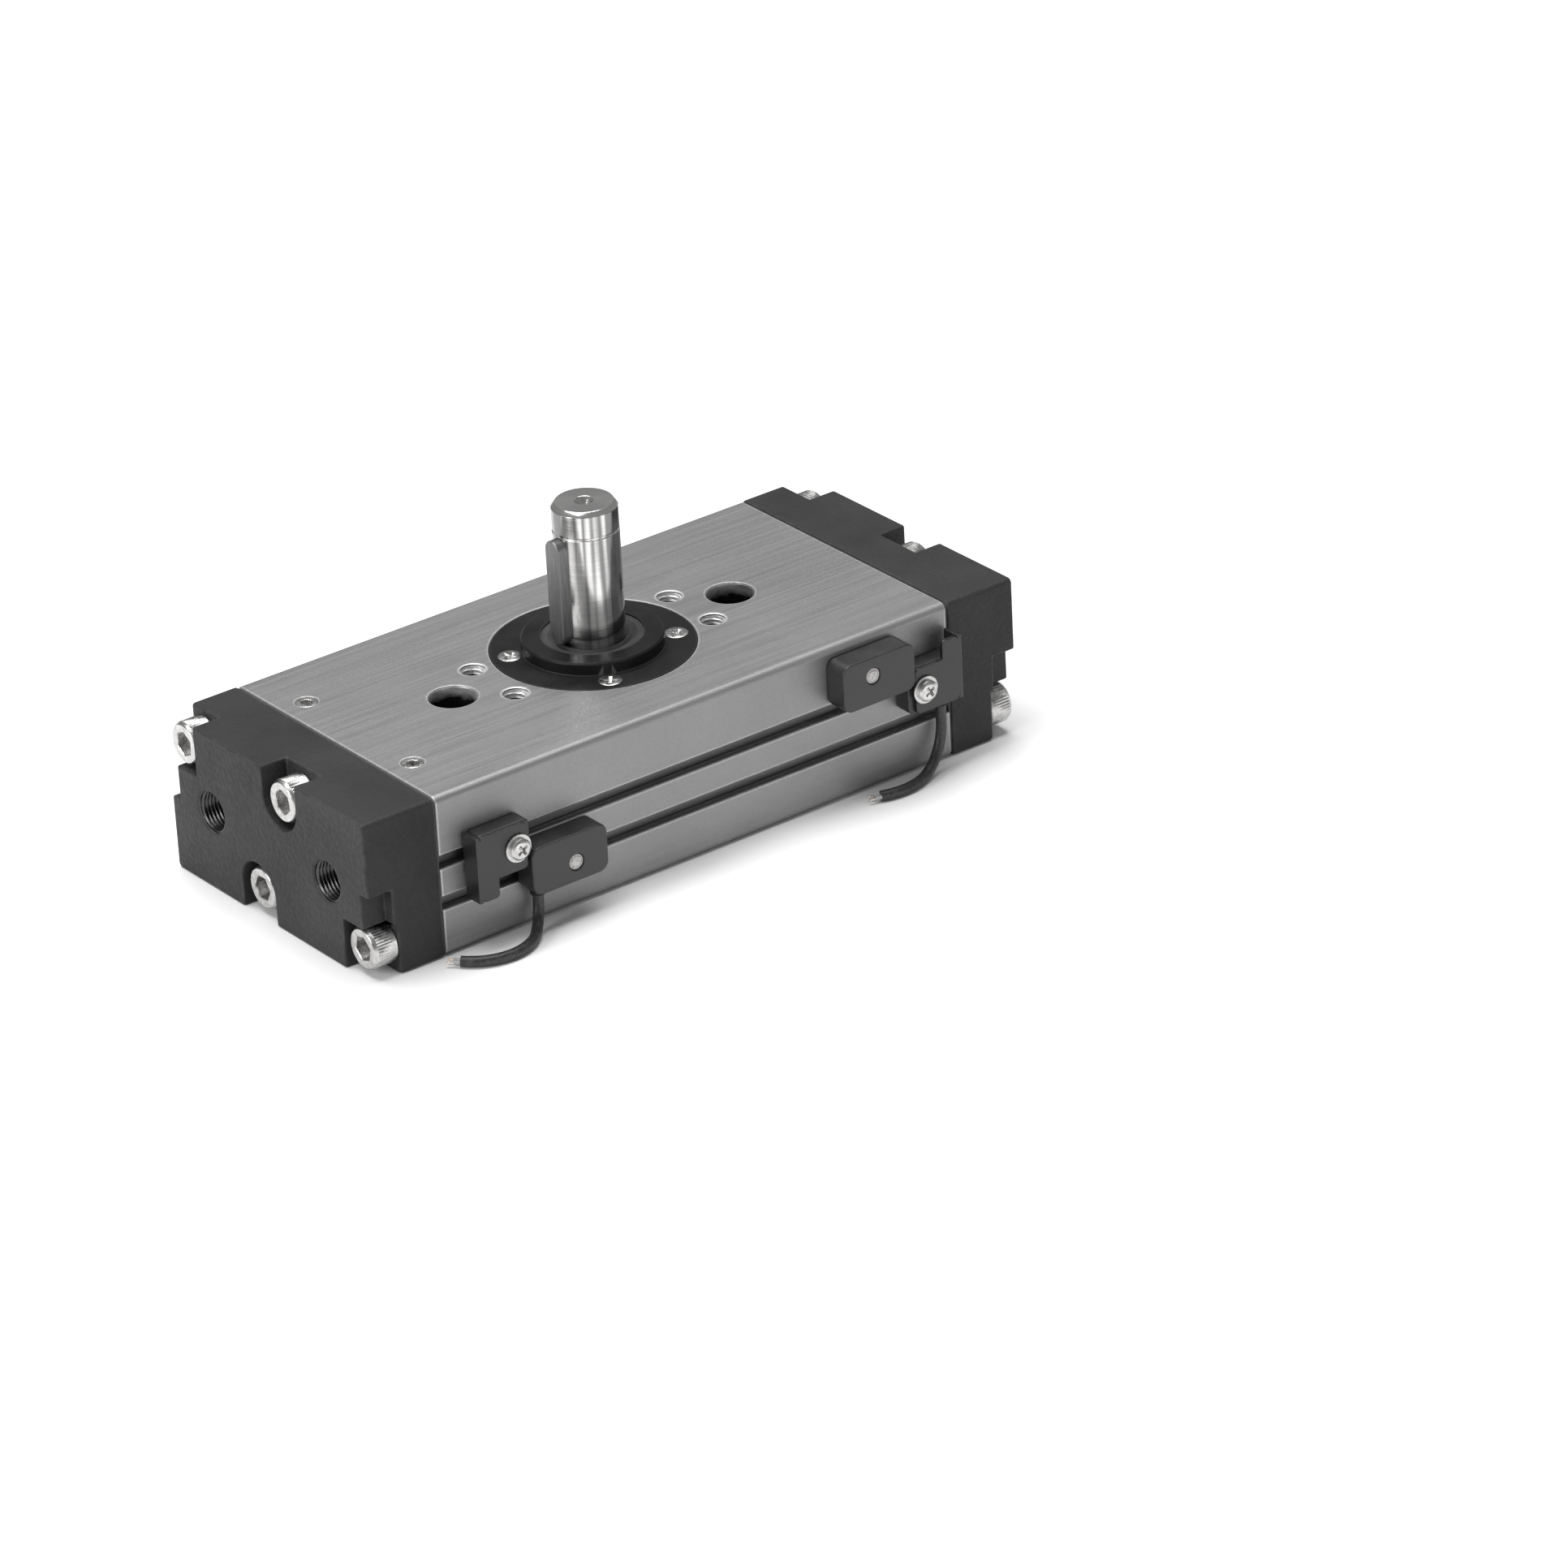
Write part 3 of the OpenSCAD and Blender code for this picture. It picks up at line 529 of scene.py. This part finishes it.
def cross(reach, half_width):
    """Radius of a cross-shaped recess at an angle."""

    def radius(angle):
        along = abs(math.cos(angle)) + 1e-9
        across = abs(math.sin(angle)) + 1e-9
        return max(min(reach / along, half_width / across), min(reach / across, half_width / along))

    return radius


def knurled(radius, depth):
    """Radius of a knurled head, a fine flute on every other step."""
    return lambda angle: radius - depth * (0.5 + 0.5 * math.cos(48 * angle))


def node_islands(node):
    """The lowest and highest corner of each separate solid in a CAD node."""
    bm = bmesh.new()
    bm.from_mesh(frame["nodes"][node].data)
    bmesh.ops.remove_doubles(bm, verts=bm.verts, dist=2e-6)
    found = []
    seen = set()
    for start in bm.verts:
        if start in seen:
            continue
        stack = [start]
        island = []
        seen.add(start)
        while stack:
            vert = stack.pop()
            island.append(vert.co.copy())
            for edge in vert.link_edges:
                other = edge.other_vert(vert)
                if other not in seen:
                    seen.add(other)
                    stack.append(other)
        low = Vector([min(c[i] for c in island) for i in range(3)])
        high = Vector([max(c[i] for c in island) for i in range(3)])
        found.append((low, high))
    bm.free()
    return found


# ---------- cords ----------

NEAR_ROUTE = [
    (-46.5, -40, 8.1), (-46.5, -40, 6.45), (-46.82, -40.34, 4.85), (-47.51, -41.04, 3.4),
    (-48.37, -41.94, 2.29), (-49.42, -43.02, 1.55), (-50.57, -44.21, 1.26),
    (-51.8, -45.35, 1.25), (-53.17, -46.32, 1.25), (-54.65, -47.1, 1.25),
    (-56.23, -47.68, 1.25), (-57.87, -48.04, 1.25), (-59.55, -48.18, 1.25),
    (-61.22, -48.09, 1.25), (-62.87, -47.79, 1.25), (-64.47, -47.27, 1.25),
    (-65.98, -46.54, 1.25), (-67.39, -45.62, 1.25), (-68.65, -44.51, 1.25),
    (-69.77, -43.25, 1.25),
]
FAR_ROUTE = [
    (65, -40, 15.6), (65, -40, 13.93), (65, -40, 12.25), (64.99, -40, 10.58),
    (64.79, -40.08, 8.92), (64.33, -40.27, 7.32), (63.63, -40.56, 5.83),
    (62.69, -40.93, 4.5), (61.56, -41.39, 3.35), (60.27, -41.91, 2.43),
    (58.85, -42.49, 1.76), (57.34, -43.09, 1.36), (55.79, -43.72, 1.25),
    (54.2, -44.24, 1.25), (52.57, -44.6, 1.25), (50.91, -44.79, 1.25),
    (49.23, -44.8, 1.25), (47.57, -44.64, 1.25), (45.92, -44.32, 1.25),
    (44.33, -43.82, 1.25),
]
LEAD_DIAMETER = 2.5 * MM
CORE_RADIUS = 0.35 * MM
STRAND_RADIUS = 0.105 * MM
STRANDS = 7


def tube(name, lines, radius, kind="NURBS", rings=5):
    """Mesh of round tubes along lines; with radius 0 it is the lines themselves."""
    data = bpy.data.curves.new(name + "_line", "CURVE")
    data.dimensions = "3D"
    data.bevel_depth = radius
    data.bevel_resolution = rings
    data.resolution_u = 6
    data.use_fill_caps = True
    for line in lines:
        spline = data.splines.new(kind)
        spline.points.add(len(line) - 1)
        for point, place in zip(spline.points, line):
            point.co = (*place, 1)
        if kind == "NURBS":
            spline.use_endpoint_u = True
            spline.order_u = 4
    holder = bpy.data.objects.new(name + "_line", data)
    mesh = bpy.data.meshes.new_from_object(holder)
    mesh.name = name + "_shape"
    bpy.data.objects.remove(holder)
    bpy.data.curves.remove(data)
    shade(mesh, 50)
    return mesh


def core_lines(route):
    """The centre lines of the two cores that stand out of the lead's end."""
    end = Vector(route[-1]) * MM
    heading = (Vector(route[-1]) - Vector(route[-2])).normalized()
    sideways = heading.cross(Z_AXIS)
    lines = []
    for side in (-1, 1):
        start = end + 0.55 * MM * side * sideways
        lines.append(
            [
                start + heading * (t * MM) + sideways * (side * 0.033 * t * t * MM)
                for t in (-0.4, 0.0, 0.75, 1.5, 2.25, 3.0)
            ]
        )
    return lines


def strand_lines(line, steps=28):
    """Seven thin strands laid round one core's line: one in the middle and six twisted round it."""
    heading = (line[-1] - line[0]).normalized()
    across = heading.cross(Z_AXIS).normalized()
    upward = across.cross(heading)
    found = []
    for strand in range(STRANDS):
        points = []
        for i in range(steps + 1):
            t = i / steps
            place = t * (len(line) - 1)
            k = min(int(place), len(line) - 2)
            middle = line[k].lerp(line[k + 1], place - k)
            angle = 2 * math.pi * (strand / (STRANDS - 1) + 1.2 * t)
            reach = 0.0 if strand == STRANDS - 1 else 2.05 * STRAND_RADIUS
            points.append(middle + reach * (math.cos(angle) * across + math.sin(angle) * upward))
        found.append(points)
    return found


def add_lead(side, route, body):
    points = [Vector(p) * MM for p in route]
    name = side + "_lead_jacket"
    middle = [tuple(v.co) for v in tube(name + "_middle", [points], 0).vertices]
    mesh = tube(name, [points], LEAD_DIAMETER / 2)
    lead = new_piece(name, mesh, "lead_jacket", body, side + "_lead")

    lines = core_lines(route)
    name = side + "_core_sleeves"
    mesh = tube(name, [line[:4] for line in lines], CORE_RADIUS * 1.3, "POLY")
    sleeves = new_piece(name, mesh, "lead_jacket", body)
    mesh.materials[0] = sleeve_material

    name = side + "_core_strands"
    strands = [strand for line in lines for strand in strand_lines(line)]
    mesh = tube(name, strands, STRAND_RADIUS, "POLY", 2)
    cores = new_piece(name, mesh, "tinned_copper", body, side + "_lead_cores")


# ---------- pieces on the housing ----------

THREAD_STEPS = 28
TAP_X = 27 * MM
TAP_Y = 8 * MM
TAP_DEPTH = 9 * MM
TAP_MINOR = 2.5 * MM
TAP_MAJOR = 2.95 * MM
TAP_PITCH = 1.0 * MM
PORT_MINOR = 4.4 * MM
PORT_MAJOR = 4.84 * MM
PORT_PITCH = 0.907 * MM
PORT_DEPTH = 9 * MM
PORT_Y = 22 * MM
THREAD_ROWS_PER_TURN = 6
LINER_WALL = 0.1 * MM
BOLT_X = 38 * MM
BORE_STEPS = 64
COUNTERBORE_SKIN = [
    (5.49 * MM, -0.35 * MM),
    (5.44 * MM, -0.42 * MM),
    (5.42 * MM, -6.3 * MM),
    (5.3 * MM, -6.42 * MM),
    (3.75 * MM, -6.42 * MM),
    (3.5 * MM, -6.7 * MM),
    (3.48 * MM, -20 * MM),
    (3.52 * MM, -20 * MM),
    (3.54 * MM, -6.52 * MM),
    (5.52 * MM, -6.52 * MM),
]


def widen_hole(bm, inside, axis_point, axis, old, new):
    """Moves a round hole's wall from radius old to new, at the points that inside accepts."""
    for vert in bm.verts:
        offset = vert.co - axis_point
        radial = offset - axis * offset.dot(axis)
        if radial.length < old + 0.02 * MM and radial.length > old - 0.02 * MM and inside(vert.co):
            vert.co += radial.normalized() * (new - old)


def thread_sleeve(bm, mouth, inward, minor, major, pitch, depth):
    """A closed sleeve with a helical thread on its inside, from the mouth of a hole inwards."""
    place = facing(mouth, inward)
    rows = int(depth / pitch * THREAD_ROWS_PER_TURN)
    inner = []
    outer = []
    for i in range(rows + 1):
        height = i * pitch / THREAD_ROWS_PER_TURN
        near = []
        far = []
        for k in range(THREAD_STEPS):
            angle = 2 * math.pi * k / THREAD_STEPS
            phase = (height / pitch - k / THREAD_STEPS) % 1
            share = min(1.0, max(0.0, 1.25 - abs(phase - 0.5) * 3))
            r = major + (minor - major) * share
            near.append(bm.verts.new(place @ Vector((r * math.cos(angle), r * math.sin(angle), height))))
            r = major + LINER_WALL
            far.append(bm.verts.new(place @ Vector((r * math.cos(angle), r * math.sin(angle), height))))
        inner.append(near)
        outer.append(far)
    loops = inner + outer[::-1]
    for low, high in zip(loops, loops[1:] + loops[:1]):
        for k in range(THREAD_STEPS):
            j = (k + 1) % THREAD_STEPS
            bm.faces.new((low[k], low[j], high[j], high[k]))


def add_body():
    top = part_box("body_extrusion")[1].z
    spots = [Vector((sx * TAP_X, sy * TAP_Y, 0)) for sx in (-1, 1) for sy in (-1, 1)]

    def open_taps(bm):
        for spot in spots:
            widen_hole(
                bm,
                lambda co: co.z > top - TAP_DEPTH - 0.1 * MM,
                spot,
                Z_AXIS,
                TAP_MINOR,
                TAP_MAJOR + LINER_WALL,
            )

    rounded_copy("body_extrusion", "anodised_aluminium", "housing", 0.3 * MM, change=open_taps)
    bm = bmesh.new()
    for spot in spots:
        mouth = Vector((spot.x, spot.y, top - 0.5 * MM))
        thread_sleeve(bm, mouth, -Z_AXIS, TAP_MINOR, TAP_MAJOR, TAP_PITCH, TAP_DEPTH - 1.2 * MM)
    mesh = finish_mesh(bm, "tapped_threads", 25)
    new_piece("tapped_threads", mesh, "anodised_aluminium", "housing")
    # The bored material darkens the threads deeper in the holes as painted shade.
    mesh.materials[0] = bore_metal


def add_counterbores():
    """Cut wall and floor of the two counterbores, a skin on the body's own faces: bright at the rim,
    painted shade further down.
    """
    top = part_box("body_extrusion")[1].z
    bm = bmesh.new()
    for side in (-1, 1):
        place = Matrix.Translation((side * BOLT_X, 0, top))
        rings = []
        for radius, height in COUNTERBORE_SKIN:
            ring = []
            for k in range(BORE_STEPS):
                angle = 2 * math.pi * k / BORE_STEPS
                corner = Vector((radius * math.cos(angle), radius * math.sin(angle), height))
                ring.append(bm.verts.new(place @ corner))
            rings.append(ring)
        for low, high in zip(rings, rings[1:] + rings[:1]):
            for k in range(BORE_STEPS):
                j = (k + 1) % BORE_STEPS
                bm.faces.new((low[k], low[j], high[j], high[k]))
    mesh = finish_mesh(bm, "counterbore_faces", 30)
    new_piece("counterbore_faces", mesh, "anodised_aluminium", "housing")
    # The bored material paints shade onto the lower wall and the floor.
    mesh.materials[0] = bore_metal


def add_covers():
    low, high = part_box("port_end_cover")
    middle = (low.z + high.z) / 2
    axes = [Vector((0, side * PORT_Y, middle)) for side in (-1, 1)]

    def open_ports(bm):
        for axis_point in axes:
            widen_hole(
                bm,
                lambda co: co.x < low.x + PORT_DEPTH + 0.1 * MM,
                axis_point,
                X_AXIS,
                PORT_MINOR,
                PORT_MAJOR + LINER_WALL,
            )

    rounded_copy("port_end_cover", "cover_paint", "housing", 0.45 * MM, change=open_ports)
    rounded_copy("blind_end_cover", "cover_paint", "housing", 0.45 * MM)
    bm = bmesh.new()
    for axis_point in axes:
        mouth = Vector((low.x + 0.6 * MM, axis_point.y, middle))
        thread_sleeve(bm, mouth, X_AXIS, PORT_MINOR, PORT_MAJOR, PORT_PITCH, PORT_DEPTH - 1.2 * MM)
    mesh = finish_mesh(bm, "port_threads", 25)
    new_piece("port_threads", mesh, "cover_paint", "housing")
    # Painted shade: the port threads take near-black steel so the deep ports read dark.
    mesh.materials[0] = port_shade_metal


def cap_screw(bm, place):
    """M6 cap screw, its head's face at height 0: knurled head, chamfers, hexagon socket."""
    head = 5 * MM
    knurl = 0.13 * MM
    depth = 6 * MM
    socket = 5 * MM
    rows = [
        (-37 * MM, 0.6 * MM),
        (-36.6 * MM, 2.0 * MM),
        (-36 * MM, 2.45 * MM),
        (-18.2 * MM, 2.45 * MM),
        (-17.9 * MM, 2.98 * MM),
        (-depth, 2.98 * MM),
        (-depth, head - 0.35 * MM),
        (-depth + 0.3 * MM, head - 0.05 * MM),
        (-depth + 0.7 * MM, knurled(head, knurl)),
        (-0.85 * MM, knurled(head, knurl)),
        (-0.75 * MM, head - 0.16 * MM),
        (-0.25 * MM, head - 0.32 * MM),
        (0.0, head - 0.6 * MM),
        (0.0, lambda a: hexagon(socket)(a) + 0.22 * MM),
        (-0.22 * MM, hexagon(socket)),
        (-3 * MM, hexagon(socket)),
        (-3 * MM, 2.2 * MM),
        (-4.1 * MM, 0.15 * MM),
    ]
    turned(bm, rows, 96, place)


def add_cap_screws(end, outward):
    """Four cap screws in one cover, each a little differently turned."""
    node = end + "_end_screws"
    for i, (low, high) in enumerate(sorted(node_islands(node), key=lambda b: tuple(b[0]))):
        face = low.x if outward.x < 0 else high.x
        spot = Vector((face, (low.y + high.y) / 2, (low.z + high.z) / 2))
        bm = bmesh.new()
        cap_screw(bm, facing(spot, outward, math.radians(17 + 23 * i)))
        name = f"{end}_end_cap_screw_{i + 1}"
        new_piece(name, finish_mesh(bm, name), "plated_steel", "housing", node)


def countersunk_screw(bm, place):
    """M3 countersunk screw, its head's face at height 0."""
    rows = [
        (-6.5 * MM, 0.5 * MM),
        (-6.2 * MM, 1.2 * MM),
        (-1.35 * MM, 1.25 * MM),
        (-0.2 * MM, 2.55 * MM),
        (-0.06 * MM, 2.66 * MM),
        (0.0, 2.55 * MM),
        (0.0, lambda a: cross(1.6 * MM, 0.42 * MM)(a) + 0.08 * MM),
        (-0.1 * MM, cross(1.55 * MM, 0.38 * MM)),
        (-0.95 * MM, cross(0.8 * MM, 0.25 * MM)),
        (-1.15 * MM, 0.08 * MM),
    ]
    turned(bm, rows, 96, place)


def add_retainer():
    rounded_copy("bearing_retainer", "retainer_paint", "housing", 0.16 * MM)
    bm = bmesh.new()
    for i, (low, high) in enumerate(sorted(node_islands("retainer_screws"), key=lambda b: tuple(b[0]))):
        spot = Vector(((low.x + high.x) / 2, (low.y + high.y) / 2, high.z))
        countersunk_screw(bm, facing(spot, Z_AXIS, math.radians(20 + 31 * i)))
    mesh = finish_mesh(bm, "retainer_screw_set")
    new_piece("retainer_screw_set", mesh, "plated_steel", "housing", "retainer_screws")


def add_small_parts():
    rounded_copy("bleed_plugs", "plated_steel", "housing", 0.12 * MM)
    rounded_copy("bottom_cap", "cap_steel", "housing", 0.15 * MM)
    rounded_copy("snap_ring", "spring_steel", "housing", 0.1 * MM)


# ---------- pieces on the shaft ----------


def add_shaft():
    rounded_copy("pinion_shaft", "ground_steel", "shaft", 0.06 * MM)
    rounded_copy("shaft_key", "key_steel", "shaft", 0.3 * MM)


# ---------- switches ----------

SWITCH_RIDES = {"near": "near_switch", "far": "far_switch"}


def pan_screw(bm, place):
    """Clamp screw with a captive washer; height 0 is the washer's underside."""
    washer = 3.3 * MM
    head = 2.5 * MM
    rows = [
        (-8.4 * MM, 0.6 * MM),
        (-8.1 * MM, 1.2 * MM),
        (0.0, 1.25 * MM),
        (0.0, washer - 0.12 * MM),
        (0.1 * MM, washer),
        (0.4 * MM, washer),
        (0.5 * MM, washer - 0.12 * MM),
        (0.5 * MM, head - 0.02 * MM),
        (1.25 * MM, head),
        (1.62 * MM, head - 0.25 * MM),
        (1.84 * MM, head - 0.75 * MM),
        (1.9 * MM, head - 1.0 * MM),
        (1.9 * MM, lambda a: cross(1.35 * MM, 0.36 * MM)(a) + 0.05 * MM),
        (1.8 * MM, cross(1.32 * MM, 0.33 * MM)),
        (1.0 * MM, cross(0.7 * MM, 0.22 * MM)),
        (0.85 * MM, 0.08 * MM),
    ]
    turned(bm, rows, 96, place)


def lens_dome(bm, place):
    """Round indicator lens with a rim and a low dome; height 0 is its back."""
    rows = [
        (0.0, 1.78 * MM),
        (0.62 * MM, 1.8 * MM),
        (0.72 * MM, 1.72 * MM),
        (0.72 * MM, 1.5 * MM),
        (0.62 * MM, 1.42 * MM),
    ]
    for i in range(1, 7):
        t = i / 7 * math.pi / 2
        rows.append((0.62 * MM + 0.36 * MM * math.sin(t), 1.42 * MM * math.cos(t)))
    turned(bm, rows, 64, place)


def ribbed_grommet(bm, place):
    """Strain relief with two ribs; height 0 is where it leaves the case."""
    rows = [
        (-0.2 * MM, 1.9 * MM),
        (0.2 * MM, 1.95 * MM),
        (0.3 * MM, 1.65 * MM),
        (0.55 * MM, 1.63 * MM),
        (0.62 * MM, 1.85 * MM),
        (0.85 * MM, 1.83 * MM),
        (0.92 * MM, 1.56 * MM),
        (1.15 * MM, 1.54 * MM),
        (1.22 * MM, 1.72 * MM),
        (1.42 * MM, 1.68 * MM),
        (1.5 * MM, 1.55 * MM),
        (1.5 * MM, 1.3 * MM),
    ]
    turned(bm, rows, 48, place)


def add_switch(side):
    body = SWITCH_RIDES[side]
    rounded_copy(side + "_switch_case", "switch_plastic", body, 0.35 * MM)
    rounded_copy(side + "_switch_bracket", "bracket_paint", body, 0.16 * MM)
    rounded_copy(side + "_switch_nut", "plated_steel", body, 0.15 * MM)

    low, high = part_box(side + "_switch_screw")
    bm = bmesh.new()
    spot = Vector(((low.x + high.x) / 2, low.y + 1.9 * MM, (low.z + high.z) / 2))
    pan_screw(bm, facing(spot, -Y_AXIS, math.radians(35)))
    mesh = finish_mesh(bm, side + "_clamp_screw")
    new_piece(side + "_clamp_screw", mesh, "plated_steel", body, side + "_switch_screw")

    low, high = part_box(side + "_switch_lamp")
    bm = bmesh.new()
    spot = Vector(((low.x + high.x) / 2, high.y, (low.z + high.z) / 2))
    lens_dome(bm, facing(spot, -Y_AXIS))
    mesh = finish_mesh(bm, side + "_lens")
    new_piece(side + "_lens", mesh, "lamp_plastic", body, side + "_switch_lamp")

    low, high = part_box(side + "_switch_grommet")
    bm = bmesh.new()
    spot = Vector(((low.x + high.x) / 2, (low.y + high.y) / 2, high.z))
    ribbed_grommet(bm, facing(spot, -Z_AXIS))
    mesh = finish_mesh(bm, side + "_strain_relief")
    new_piece(side + "_strain_relief", mesh, "rubber", body, side + "_switch_grommet")


# ---------- stage ----------


FLOOR_REACH = 8.0
FLOOR_DROP = 0.00005


def add_floor():
    mesh = bpy.data.meshes.new("floor_shape")
    reach = FLOOR_REACH
    bm = bmesh.new()
    corners = [(-reach, -reach, 0), (reach, -reach, 0), (reach, reach, 0), (-reach, reach, 0)]
    bm.faces.new([bm.verts.new(c) for c in corners])
    bm.to_mesh(mesh)
    bm.free()
    floor = bpy.data.objects.new("floor", mesh)
    floor.location = (0, 0, -FLOOR_DROP)
    bpy.context.scene.collection.objects.link(floor)
    s = Surface("floor_paper", Roughness=0.9)
    s.colour(s.blend(s.noise(0.4, 2), grey(0.88), grey(0.9)))
    mesh.materials.append(s.material)


def add_area(name, place, aim, size, power):
    data = bpy.data.lights.new(name, "AREA")
    data.shape = "RECTANGLE"
    data.size = size[0]
    data.size_y = size[1]
    data.energy = power
    light = bpy.data.objects.new(name, data)
    light.location = place
    light.rotation_mode = "QUATERNION"
    light.rotation_quaternion = (Vector(aim) - Vector(place)).to_track_quat("-Z", "Y")
    bpy.context.scene.collection.objects.link(light)


def add_lights():
    add_area("overhead", (0.0, 0.25, 1.5), (0, 0, 0), (1.5, 1.1), 34)
    add_area("left_box", (-1.35, 0.0, 0.6), (0, 0, 0.04), (0.25, 0.6), 9)
    add_area("front_strip", (0.1, -1.5, 0.16), (0, 0, 0.015), (1.0, 0.16), 3.0)
    world = bpy.data.worlds.new("studio")
    world.use_nodes = True
    back = world.node_tree.nodes["Background"]
    back.inputs["Color"].default_value = (1, 1, 1, 1)
    back.inputs["Strength"].default_value = 0.25
    bpy.context.scene.world = world
    bpy.context.scene.view_settings.view_transform = "Standard"


# ---------- everything ----------


def dress_cad_nodes():
    """Gives every CAD node its slot's material; the replaced ones stay hidden."""
    slots = {s["node"]: s["material_slot"] for s in frame["record"]["subparts"]}
    for name, node in frame["nodes"].items():
        node.data.materials.clear()
        node.data.materials.append(materials[slots[name]])


add_camera()
materials = make_materials()
sleeve_material = core_sleeve()
# Near-black steel for the port threads: painted shade inside the deep ports.
port_shade_metal = machined_steel("port_shade_metal", 0.05, 0.1, 0.36)
bore_metal = bored_aluminium()
add_lead("near", NEAR_ROUTE, "near_switch")
add_lead("far", FAR_ROUTE, "far_switch")
dress_cad_nodes()
add_body()
add_counterbores()
add_covers()
add_cap_screws("port", -X_AXIS)
add_cap_screws("blind", X_AXIS)
add_retainer()
add_small_parts()
add_shaft()
for name in SWITCH_RIDES:
    add_switch(name)
add_floor()
add_lights()
